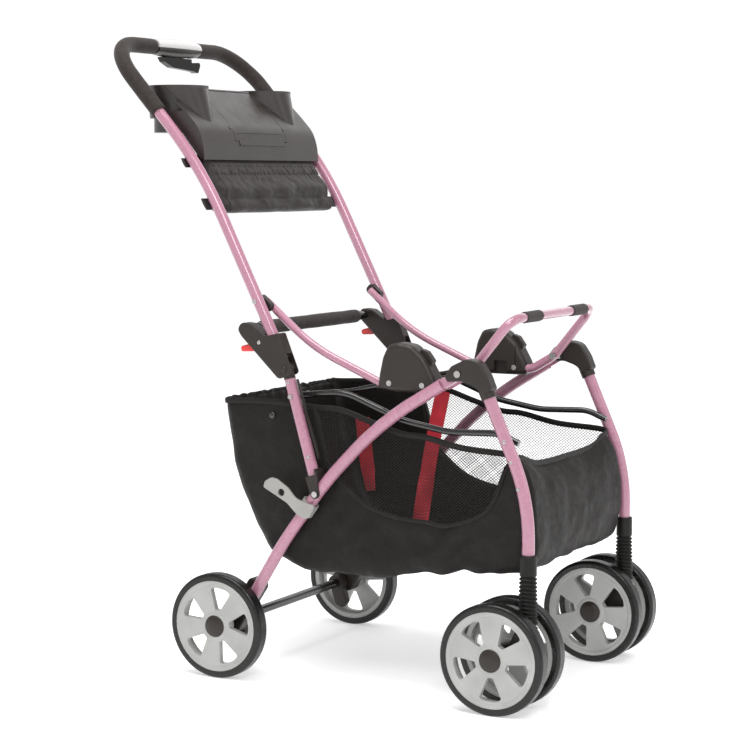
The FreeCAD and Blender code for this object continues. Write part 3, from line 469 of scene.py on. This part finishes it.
# Name, place, point aimed at, width, watts.
LAMPS = [
    ("key", (-2.4, -2.2, 3.2), (0, 0, 0.5), 1.4, 60.0),
    ("top", (-0.6, 0.2, 3.6), (0, 0, 0.6), 2.0, 90.0),
    ("front", (0.6, -3.2, 1.5), (0, 0, 0.5), 1.2, 8.0),
    ("rim", (2.8, 0.3, 2.45), (0, 0.2, 0.9), 2.2, 11.0),
]


def set_camera(scene):
    camera = bpy.data.objects.new("camera", bpy.data.cameras.new("camera"))
    scene.collection.objects.link(camera)
    camera.data.sensor_width = SENSOR_WIDTH
    camera.data.lens = CAMERA_LENS
    camera.data.clip_end = CLIP_END
    camera.location = CAMERA_PLACE
    back = Vector((math.sin(CAMERA_AZIMUTH) * math.cos(CAMERA_ELEVATION),
                   -math.cos(CAMERA_AZIMUTH) * math.cos(CAMERA_ELEVATION),
                   math.sin(CAMERA_ELEVATION)))
    camera.rotation_euler = back.to_track_quat("Z", "Y").to_euler()
    scene.camera = camera


def set_sky(scene):
    world = bpy.data.worlds.new("world")
    world.use_nodes = True
    tree = world.node_tree
    sky = tree.nodes["Background"]
    sky.inputs["Strength"].default_value = SKY_STRENGTH
    ways = tree.nodes.new("ShaderNodeTexCoord")
    split = tree.nodes.new("ShaderNodeSeparateXYZ")
    dim = tree.nodes.new("ShaderNodeMapRange")
    for socket, value in SKY_RAMP.items():
        dim.inputs[socket].default_value = value
    tree.links.new(ways.outputs["Generated"], split.inputs["Vector"])
    tree.links.new(split.outputs["Z"], dim.inputs["Value"])
    tree.links.new(dim.outputs["Result"], sky.inputs["Color"])
    scene.world = world


def set_floor(scene):
    far = FLOOR_REACH
    mesh = bpy.data.meshes.new("floor")
    mesh.from_pydata([(-far, -far, 0), (far, -far, 0), (far, far, 0), (-far, far, 0)],
                     [], [(0, 1, 2, 3)])
    floor = bpy.data.objects.new("floor", mesh)
    scene.collection.objects.link(floor)
    made = Nodes("floor_white")
    made.set(Base_Color=FLOOR_GREY, Roughness=0.8, Specular_IOR_Level=0.2,
             Emission_Color=(1.0, 1.0, 1.0, 1.0), Emission_Strength=FLOOR_GLOW)
    mesh.materials.append(made.material)


def set_lamps(scene):
    for name, where, aim, size, power in LAMPS:
        lamp = bpy.data.lights.new(name, "AREA")
        lamp.size = size
        lamp.energy = power
        light = bpy.data.objects.new(name, lamp)
        light.location = where
        light.rotation_euler = (Vector(where) - Vector(aim)).to_track_quat("Z", "Y").to_euler()
        scene.collection.objects.link(light)


def set_stage():
    scene = bpy.context.scene
    set_camera(scene)
    set_sky(scene)
    scene.view_settings.view_transform = "Standard"
    set_floor(scene)
    set_lamps(scene)


# ---------------------------------------------------------------- hub caps and screws
# Lathed sections, as (radius, height) in millimetres unless said.
HUB_CAP = [(0.0, 7.0), (5.5, 6.8), (11.0, 5.9), (14.2, 4.6), (15.0, 3.6), (16.2, 3.7),
           (17.7, 2.6), (18.4, 1.0), (18.6, -1.5)]
HUB_CAP_SINK = 0.0012
# Radii here are shares of the head's radius.
SCREW_HEAD = [(0.0, 1.0), (0.22, 1.0), (0.26, 1.55), (0.62, 1.42), (0.9, 1.0), (1.0, 0.4),
              (1.0, -0.2)]
PIVOT_CAP = [(0.0, 2.9), (3.5, 2.7), (5.2, 1.8), (5.6, 0.0), (5.6, -0.6)]
TUBE_END = [(0.0, -9.67), (9.8, -9.67), (10.2, -9.2), (10.2, 9.2), (9.8, 9.67), (0.0, 9.67)]
# Name, distance from the middle plane, Y, Z and head radius, in millimetres, on each body.
SCREWS = {
    "upper_handle_frame": [("rail_screw", 215.4, 107, 628, 3.8),
                           ("knuckle_screw", 218.4, 97, 562, 3.4)],
    "lower_handle_frame": [("tube_screw_top", 215.4, 44, 498, 3.0),
                           ("tube_screw", 215.4, 6, 379, 3.0)],
    "front_frame": [("leg_screw_top", 211.9, -341, 424, 3.2),
                    ("leg_screw_mid", 211.9, -352, 393, 2.9),
                    ("leg_screw_low", 211.9, -365, 352, 3.0)],
    "rear_frame": [("foot_screw", 215.9, 121, 140, 3.2)],
}
# The lower handle tubes: their distance from the middle plane, and the pivot at their top.
TUBE_REACH = 0.206
TUBE_PIVOT = Vector((0, 0.050, 0.520))
TUBE_FOOT = Vector((0, -0.008, 0.319))
TUBE_SKIN = 0.00968
FITTING_LENGTH = 0.017
PIVOT_CAP_REACH = 0.2186
# The dark strip on each lower tube: its ends, half width, half thickness and height over them.
DARK_STRIP_TOP = Vector((0, 0.0405, 0.501))
DARK_STRIP_FOOT = Vector((0, -0.0005, 0.372))
DARK_STRIP_HALF = (0.0038, 0.0014)
DARK_STRIP_LIFT = 0.0096


def hub_caps():
    """A black domed cap pressed over each hub, with a shallow groove near its rim."""
    places = []
    for word, side in SIDES.items():
        places.append(("rear_wheel_" + word, side))
        places.append(("front_wheel_%s_outer" % word, side))
        places.append(("front_wheel_%s_inner" % word, -side))
    for node, face in places:
        low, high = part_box(node)
        middle = (low + high) / 2
        outer = high.x if face > 0 else low.x
        middle.x = outer - face * HUB_CAP_SINK
        points, faces = turned(in_metres(HUB_CAP), 56, (face, 0, 0), middle)
        make_tidy(node.replace("wheel", "hub_cap"), points, faces, LOOKS["black_plastic"],
                  body_name(node), "black_plastic")


def screws():
    """Pan-head screws, each with a ringed recess."""
    for body, rows in SCREWS.items():
        for name, reach, y, z, radius in rows:
            for word, side in SIDES.items():
                head = in_metres([(r * radius, h) for r, h in SCREW_HEAD])
                place = Vector((side * reach * MM, y * MM, z * MM))
                points, faces = turned(head, 28, (side, 0, 0), place)
                make_tidy("%s_%s" % (name, word), points, faces, LOOKS["screw_steel"], body,
                          "screw_steel")


def tube_strips():
    """A thin dark strip laid along the front of each lower handle tube."""
    run = (DARK_STRIP_FOOT - DARK_STRIP_TOP).normalized()
    front = Vector((0, run.z, -run.y))
    for word, side in SIDES.items():
        shift = front * DARK_STRIP_LIFT + Vector((side * TUBE_REACH, 0, 0))
        line = [DARK_STRIP_TOP.lerp(DARK_STRIP_FOOT, i / 12) + shift for i in range(13)]
        points, faces = sweep_mesh(line, oval(*DARK_STRIP_HALF, 14))
        make_tidy("tube_strip_" + word, points, faces, LOOKS["black_plastic"],
                  "lower_handle_frame", "black_plastic")


def knuckle_trim():
    """The black end fitting of each lower tube, and the cap over each knuckle's pivot bolt."""
    run = (TUBE_FOOT - TUBE_PIVOT).normalized()
    for word, side in SIDES.items():
        pivot = TUBE_PIVOT + Vector((side * TUBE_REACH, 0, 0))
        line = [pivot + run * (FITTING_LENGTH * i / 6) for i in range(7)]
        points, faces = sweep_mesh(line, circle(TUBE_SKIN, 32))
        end, skin = turned(in_metres(TUBE_END), 40, (1, 0, 0), pivot)
        faces += [tuple(k + len(points) for k in face) for face in skin]
        make_tidy("tube_end_" + word, points + end, faces, LOOKS["black_plastic"],
                  "lower_handle_frame", "black_plastic")
        cap, skin = turned(in_metres(PIVOT_CAP), 32, (side, 0, 0),
                           TUBE_PIVOT + Vector((side * PIVOT_CAP_REACH, 0, 0)))
        make_tidy("pivot_cap_" + word, cap, skin, LOOKS["black_plastic"], "upper_handle_frame",
                  "black_plastic")


# ---------------------------------------------------------------- foam
def soften(node, voxel, dents):
    """A foam piece from its CAD solid: rounded ends and faint dents."""
    source = NODES[node]
    mesh = source.data.copy()
    mesh.transform(source.matrix_world)
    piece = bpy.data.objects.new(node + "_foam", mesh)
    bpy.context.scene.collection.objects.link(piece)
    mesh.materials.clear()
    mesh.materials.append(LOOKS["foam"])
    grain = piece.modifiers.new("grain", "REMESH")
    grain.mode = "VOXEL"
    grain.voxel_size = voxel
    grain.use_smooth_shade = True
    soft = piece.modifiers.new("soft", "SMOOTH")
    soft.iterations = 4
    bake_modifiers(piece)
    work = bmesh.new()
    work.from_mesh(piece.data)
    work.normal_update()
    for vert in work.verts:
        dent = noise.noise(vert.co * 22.0) + 0.5 * noise.noise(vert.co * 70.0)
        vert.co += vert.normal * (dents * dent)
    work.to_mesh(piece.data)
    work.free()
    piece.data.shade_smooth()
    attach(piece, body_name(node))
    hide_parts(node)


def foam_pieces():
    soften("handle_grips", 0.0026, 0.0004)
    soften("middle_foam", 0.0024, 0.0005)
    soften("loop_sleeves", 0.0020, 0.0003)


# ---------------------------------------------------------------- basket
# Half width, and how far the front edge sags in the middle.
HALF = 0.187
FRONT_DIP = 0.019
CORNER = 0.022
# Rows along the profile, and columns up each side and across.
BASKET_ROWS = 170
SIDE_STEPS = 28
CROSS_STEPS = 64
BASKET_CLOTH = 0.0016
# Outlines are (Y, Z) in millimetres. PROFILE runs from the rear rim down, forwards and up again.
PROFILE = [(184, 459), (176, 400), (164, 345), (145, 291), (122, 248), (98, 214), (64, 196),
           (10, 186), (-88, 187), (-149, 193), (-285, 207), (-345, 212), (-372, 226),
           (-382, 268), (-380, 318), (-372, 365), (-352, 397)]
WINDOW = [(10, 457), (-6, 400), (-18, 360), (-48, 330), (-88, 302), (-142, 287), (-195, 284),
          (-231, 281), (-285, 299), (-311, 325), (-334, 380), (-350, 396)]
RIM = [(184, 459), (120, 462), (60, 461)] + WINDOW
TOP_EDGE = [(10, 457), (-40, 455), (-97, 438), (-150, 423), (-193, 420), (-258, 407), (-334, 402),
            (-350, 397)]
REAR_SIDE = [(60, 461), (120, 462), (176, 460)]
REAR_RIM = Vector((0, 0.185, 0.460))
FRONT_RIM = Vector((0, -0.353, 0.397))
STRAPS = [[(-40, 452), (-20, 360), (-6, 280), (2, 217)], [(124, 395), (116, 322), (106, 262)]]
STRAP_WIDTH = 0.029
STRAP_THICK = 0.0013
STRAP_INSET = 0.0045
NET_PITCH = 0.0038
NET_RADIUS = 0.00036
NET_TILT = 0.82
NET_BELLY = 0.0035
SNAP_HEAD = [(0.0, 3.2), (3.0, 2.9), (5.0, 1.9), (6.0, 0.6), (6.2, -1.0)]
SNAP_PLACE = Vector((0, 0.089, 0.440))
SNAP_LIFT = 0.0035


def yz(points):
    return [Vector((0, y * MM, z * MM)) for y, z in points]


def ease(share):
    """A smooth step from 0 to 1, held at both ends."""
    share = max(0.0, min(1.0, share))
    return share * share * (3 - 2 * share)


def wrinkle(place, scale, amount, seed):
    """Soft cloth creases, as a push along the surface normal."""
    coarse = noise.noise(place * scale + Vector((seed, 0, 0)))
    fine = noise.noise(place * scale * 2.7 + Vector((0, seed, 0)))
    return amount * (coarse + 0.45 * fine)


def basket_grid(profile, rim):
    """Rows of points: up one side wall from the rim, round the corner, across, and up again."""
    tuck = 0.35
    edge = HALF - tuck * CORNER
    grid = []
    for s, (low, top) in enumerate(zip(profile, rim)):
        wall = top - low
        high = wall.length
        row = []
        for side, order in ((-1, range(SIDE_STEPS + 1)), (1, range(SIDE_STEPS, -1, -1))):
            for t in order:
                share = 1 - t / SIDE_STEPS
                inset = max(0.0, CORNER - share * high) if high > 1e-6 else CORNER
                swell = 0.004 * math.sin(math.pi * share) * min(1.0, high / 0.12)
                x = side * (HALF + swell - tuck * inset * inset / CORNER)
                row.append(Vector((x, low.y + wall.y * share, low.z + wall.z * share)))
            if side < 0:
                dip = FRONT_DIP * ease((s / (len(profile) - 1) - 0.86) / 0.14)
                for c in range(1, CROSS_STEPS):
                    x = -edge + 2 * edge * c / CROSS_STEPS
                    row.append(Vector((x, low.y, low.z - dip * ease(2 - 2 * abs(x) / edge))))
        grid.append(row)
    return grid


def grid_faces(rows, columns):
    return [(i * columns + j, i * columns + j + 1, (i + 1) * columns + j + 1, (i + 1) * columns + j)
            for i in range(rows - 1) for j in range(columns - 1)]


def basket_push(place):
    """How far the basket's cloth stands out: creases, sag folds and the gathered rear rim."""
    floor = ease(1 - (place.z - 0.19) / 0.14)
    front = ease((-0.10 - place.y) / 0.2)
    push = wrinkle(place, 14.0, 0.0030 + 0.0034 * floor, 3.0)
    slant = place.y * 60 + place.z * 75
    push += 0.0022 * floor * (0.4 + front) * math.sin(slant + 7 * noise.noise(place * 8))
    rear_rim = ease((place.y - 0.15) / 0.02) * ease((place.z - 0.425) / 0.03)
    push += 0.0030 * rear_rim * noise.noise(Vector((place.x * 62, 3.0, place.z * 20)))
    return push - 0.0015


def basket_shell():
    """Floor, back and front panels, and the solid lower part of each side, in one cloth."""
    profile = smooth_line(yz(PROFILE), BASKET_ROWS)
    rim = smooth_line(yz(RIM), BASKET_ROWS)
    grid = basket_grid(profile, rim)
    points = [p for row in grid for p in row]
    piece = make_piece("basket_shell", points, grid_faces(BASKET_ROWS, len(grid[0])),
                       LOOKS["black_cloth"], "rear_frame", "black_cloth")
    work = bmesh.new()
    work.from_mesh(piece.data)
    bmesh.ops.remove_doubles(work, verts=work.verts, dist=1e-5)
    bmesh.ops.recalc_face_normals(work, faces=work.faces)
    work.normal_update()
    middle = Vector((0, -0.09, 0.35))
    for vert in work.verts:
        place = vert.co.copy()
        out = vert.normal if vert.normal.dot(place - middle) > 0 else -vert.normal
        vert.co += out * basket_push(place)
    work.to_mesh(piece.data)
    work.free()
    thicken(piece, BASKET_CLOTH)
    return piece


def window_bindings():
    """The tape round the lower edge of each side window."""
    made = []
    for word, side in SIDES.items():
        line = [p + Vector((side * (HALF + 0.0008), 0, 0)) for p in smooth_line(yz(WINDOW), 90)]
        points, faces = sweep_mesh(line, oval(0.0016, 0.0036, 14))
        made.append(make_tidy("window_binding_" + word, points, faces, BINDING, "rear_frame",
                              "black_cloth"))
    return made


def mirrored(line):
    """A line's mirror image in the middle plane, run the other way."""
    return [Vector((-p.x, p.y, p.z)) for p in line[::-1]]


def top_binding():
    """The tape round the whole mouth, gathered by its elastic along the back."""
    right = [Vector((-HALF, p.y, p.z)) for p in yz(TOP_EDGE[::-1] + REAR_SIDE)]
    rear = [REAR_RIM + Vector((x * MM, 0, 0)) for x in (-176, -120, -60, 0, 60, 120, 176)]
    front = FRONT_RIM - Vector((0, 0, FRONT_DIP))
    half_front = []
    for x in (-0.060, -0.120, -0.172):
        dip = FRONT_DIP * ease(2 - 2 * abs(x) / HALF)
        half_front.append(FRONT_RIM + Vector((x, 0, -dip)))
    ring = [front] + half_front + right + rear + mirrored(right) + mirrored(half_front) + [front]
    line = smooth_line(ring, 520)
    for p in line:
        gather = ease((p.y - 0.12) / 0.05)
        p.y += 0.0030 * gather * noise.noise(Vector((p.x * 62, 3.0, 0.0)))
        p.z += 0.0026 * gather * noise.noise(Vector((p.x * 75, 8.0, 1.0)))
    points, faces = sweep_mesh(line, oval(0.0020, 0.0050, 14))
    return make_tidy("top_binding", points, faces, BINDING, "rear_frame", "black_cloth")


def crossings(outline, tilt, offset):
    """Where the line z = tilt * y + offset goes in and out of a closed outline, by y."""
    found = []
    for a, b in zip(outline, outline[1:] + outline[:1]):
        da = a.z - tilt * a.y - offset
        db = b.z - tilt * b.y - offset
        if (da < 0) != (db < 0):
            found.append(a.y + (b.y - a.y) * da / (da - db))
    return sorted(found)


def net_thread(side, tilt, offset, low, high):
    """One thread's line, from low to high in Y, bellied out a little from the side."""
    count = max(2, int((high - low) / 0.012) + 2)
    line = []
    for i in range(count):
        y = low + (high - low) * i / (count - 1)
        z = tilt * y + offset
        belly = NET_BELLY * math.sin(math.pi * min(1.0, max(0.0, (z - 0.285) / 0.15)))
        line.append(Vector((side * (HALF + belly), y, z)))
    return line


def netting():
    """The window nets: two families of thin threads that cross each other."""
    outline = smooth_line(yz(WINDOW), 80) + smooth_line(yz(TOP_EDGE), 60)[::-1]
    made = []
    for word, side in SIDES.items():
        points, faces = [], []
        for tilt in (NET_TILT, -NET_TILT):
            offsets = [p.z - tilt * p.y for p in outline]
            step = NET_PITCH * math.sqrt(1 + tilt * tilt)
            offset = min(offsets) + step / 2
            while offset < max(offsets):
                ends = crossings(outline, tilt, offset)
                for low, high in zip(ends[::2], ends[1::2]):
                    line = net_thread(side, tilt, offset, low, high)
                    strand, skin = sweep_mesh(line, circle(NET_RADIUS, 4), caps=False)
                    faces += [tuple(k + len(points) for k in face) for face in skin]
                    points += strand
                offset += step
        made.append(make_piece("side_net_" + word, points, faces, NET_THREAD, "rear_frame",
                               "black_cloth"))
    return made


def basket_straps():
    """Two red webbing straps sewn up the inside of the left wall."""
    made = []
    ring = [(thin, wide) for wide, thin in strip(STRAP_WIDTH, STRAP_THICK)]
    for number, route in enumerate(STRAPS, start=1):
        line = []
        for p in smooth_line(yz(route), 40):
            inset = STRAP_INSET + 0.005 * ease((0.30 - p.z) / 0.09)
            line.append(p + Vector((HALF - inset, 0, 0)))
        points, faces = sweep_mesh(line, ring)
        made.append(make_tidy("basket_strap_%d" % number, points, faces, WEBBING, "rear_frame",
                              "black_cloth", smooth=False))
    return made


def snaps():
    """The press stud near each rear corner."""
    made = []
    for word, side in SIDES.items():
        place = SNAP_PLACE + Vector((side * (HALF + SNAP_LIFT), 0, 0))
        points, faces = turned(in_metres(SNAP_HEAD), 32, (side, 0, 0), place)
        made.append(make_tidy("basket_snap_" + word, points, faces, LOOKS["black_metal"],
                              "rear_frame", "black_plastic"))
    return made


def basket():
    shell = basket_shell()
    trim = window_bindings() + [top_binding()] + netting() + basket_straps() + snaps()
    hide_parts("basket")
    for piece in [shell] + trim:
        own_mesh(piece)


# ---------------------------------------------------------------- pouch
POUCH_HALF = 0.189
POUCH_FACE = [(227, 868), (219, 861), (210, 853), (203, 842), (196, 829), (187, 812), (178, 795),
              (174, 782), (180, 776), (194, 776), (204, 785), (216, 806), (228, 830), (238, 852),
              (241, 864)]
# Each tab's middle, as (Y, Z), and half height, in millimetres, and the X places of its sections.
POUCH_TABS = [((241.5, 854.5), 9.0), ((202.0, 786.5), 11.0)]
TAB_RUN = (183, 190, 198, 206, 212, 218)
TAB_HALF_THICK = 0.0014
TAB_LEAN = math.radians(30)
# The end seams close the bag on to this line, over the last bit of its width.
SEAM_LOW = Vector((0, 0.205, 0.790))
SEAM_HIGH = Vector((0, 0.240, 0.864))
SEAM_RUN = 0.020
POUCH_COLUMNS = 150
POUCH_ROWS = 74
POUCH_CLOTH_THICK = 0.0014
SIM_FRAMES = 18
SIM_GROW = 0.05
SIM_REACH = 0.006
# Heights of the two stitch lines in the elastic band.
STITCHES = (0.8480, 0.8345)


def pouch_mesh():
    """The bag before its creases: the section drawn across, pinched shut at both ends."""
    section = smooth_line(yz(POUCH_FACE), POUCH_ROWS)
    points = []
    for i in range(POUCH_COLUMNS):
        x = -POUCH_HALF + 2 * POUCH_HALF * i / (POUCH_COLUMNS - 1)
        pinch = 1 - ease((POUCH_HALF - abs(x)) / SEAM_RUN)
        for p in section:
            share = max(0.0, min(1.0, (p.z - SEAM_LOW.z) / (SEAM_HIGH.z - SEAM_LOW.z)))
            seam = SEAM_LOW.lerp(SEAM_HIGH, share)
            y = p.y + (seam.y - p.y) * 0.85 * pinch
            points.append(Vector((x, y, p.z)))
    return points, grid_faces(POUCH_COLUMNS, POUCH_ROWS)


def simulate(piece, pinned, frames, grow, cap):
    """Runs Blender's cloth on a piece, and keeps each point within cap of where it began."""
    start = [v.co.copy() for v in piece.data.vertices]
    group = piece.vertex_groups.new(name="held")
    group.add(pinned, 1.0, "REPLACE")
    cloth = piece.modifiers.new("cloth", "CLOTH")
    cloth.settings.quality = 6
    cloth.settings.mass = 0.25
    cloth.settings.tension_stiffness = 25
    cloth.settings.compression_stiffness = 25
    cloth.settings.bending_stiffness = 0.35
    cloth.settings.vertex_group_mass = "held"
    cloth.settings.shrink_min = -grow
    cloth.settings.shrink_max = -grow
    cloth.settings.use_pressure = True
    cloth.settings.uniform_pressure_force = 0.6
    cloth.collision_settings.use_collision = False
    cloth.point_cache.frame_end = frames
    for frame_number in range(1, frames + 1):
        bpy.context.scene.frame_set(frame_number)
    bake_modifiers(piece)
    bpy.context.scene.frame_set(1)
    for vert, was in zip(piece.data.vertices, start):
        moved = vert.co - was
        if moved.length > cap:
            vert.co = was + moved * (cap / moved.length)


def bell(distance, width):
    return math.exp(-(distance / width) ** 2)


def pouch_crease(p):
    """How far the pouch's front stands out: a gathered elastic band over loose creases."""
    front = ease((0.0 - (p.y - 0.222 + (0.852 - p.z) * 0.52)) / 0.008)
    band = ease((p.z - 0.826) / 0.006) * ease((0.864 - p.z) / 0.008)
    x = p.x + 0.010 * noise.noise(Vector((p.x * 33, 2.0, p.z * 25)))
    high = 0.6 + noise.noise(Vector((p.x * 60, 7.0, p.z * 40)))
    gather = 0.0024 * high * noise.noise(Vector((x * 150, 1.0, p.z * 60)))
    gather += 0.0016 * noise.noise(Vector((x * 330, 5.0, p.z * 190)))
    for level in STITCHES:
        gather -= 0.0030 * bell(p.z - level, 0.0016)
    crease = 0.0040 * noise.noise(Vector((p.x * 19, 4.0, p.z * 36)))
    crease += 0.0012 * noise.noise(Vector((p.x * 60, 9.0, p.z * 90)))
    crease += 0.0050 * bell(p.z - 0.812, 0.010)
    crease -= 0.0034 * bell(p.z - 0.7965, 0.0032)
    return front * (band * gather + (1 - band) * crease)


def pouch_tabs():
    """The cloth tabs that tie the pouch's corners to the handle tubes."""
    tabs = []
    for number, ((y, z), tall) in enumerate(POUCH_TABS, start=1):
        for word, side in SIDES.items():
            line = [Vector((side * x * MM, y * MM, z * MM)) for x in TAB_RUN]
            lean = TAB_LEAN * side
            ring = [(thin * math.cos(lean) - long * math.sin(lean),
                     thin * math.sin(lean) + long * math.cos(lean))
                    for thin, long in oval(TAB_HALF_THICK, tall * MM, 16)]
            points, faces = sweep_mesh(line, ring)
            tabs.append(make_tidy("pouch_tab_%d_%s" % (number, word), points, faces, POUCH_CLOTH,
                                  "upper_handle_frame", "black_cloth"))
    return tabs


def pouch():
    """The gathered cloth pouch behind the tray, with its tabs."""
    points, faces = pouch_mesh()
    piece = make_piece("pouch_bag", points, faces, POUCH_CLOTH, "upper_handle_frame", "black_cloth")
    last_column = (POUCH_COLUMNS - 1) * POUCH_ROWS
    sewn = [i for i in range(len(points)) if not 2 <= i % POUCH_ROWS <= POUCH_ROWS - 3
            or not POUCH_ROWS <= i < last_column]
    simulate(piece, sewn, SIM_FRAMES, SIM_GROW, SIM_REACH)
    for vert in piece.data.vertices:
        vert.co.y -= pouch_crease(vert.co)
    smooth = piece.modifiers.new("smooth", "SUBSURF")
    smooth.levels = smooth.render_levels = 1
    bake_modifiers(piece)
    piece.data.shade_smooth()
    thicken(piece, POUCH_CLOTH_THICK)
    tabs = pouch_tabs()
    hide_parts("rear_pouch")


dress_frame()
set_stage()
hub_caps()
screws()
tube_strips()
knuckle_trim()
foam_pieces()
basket()
pouch()
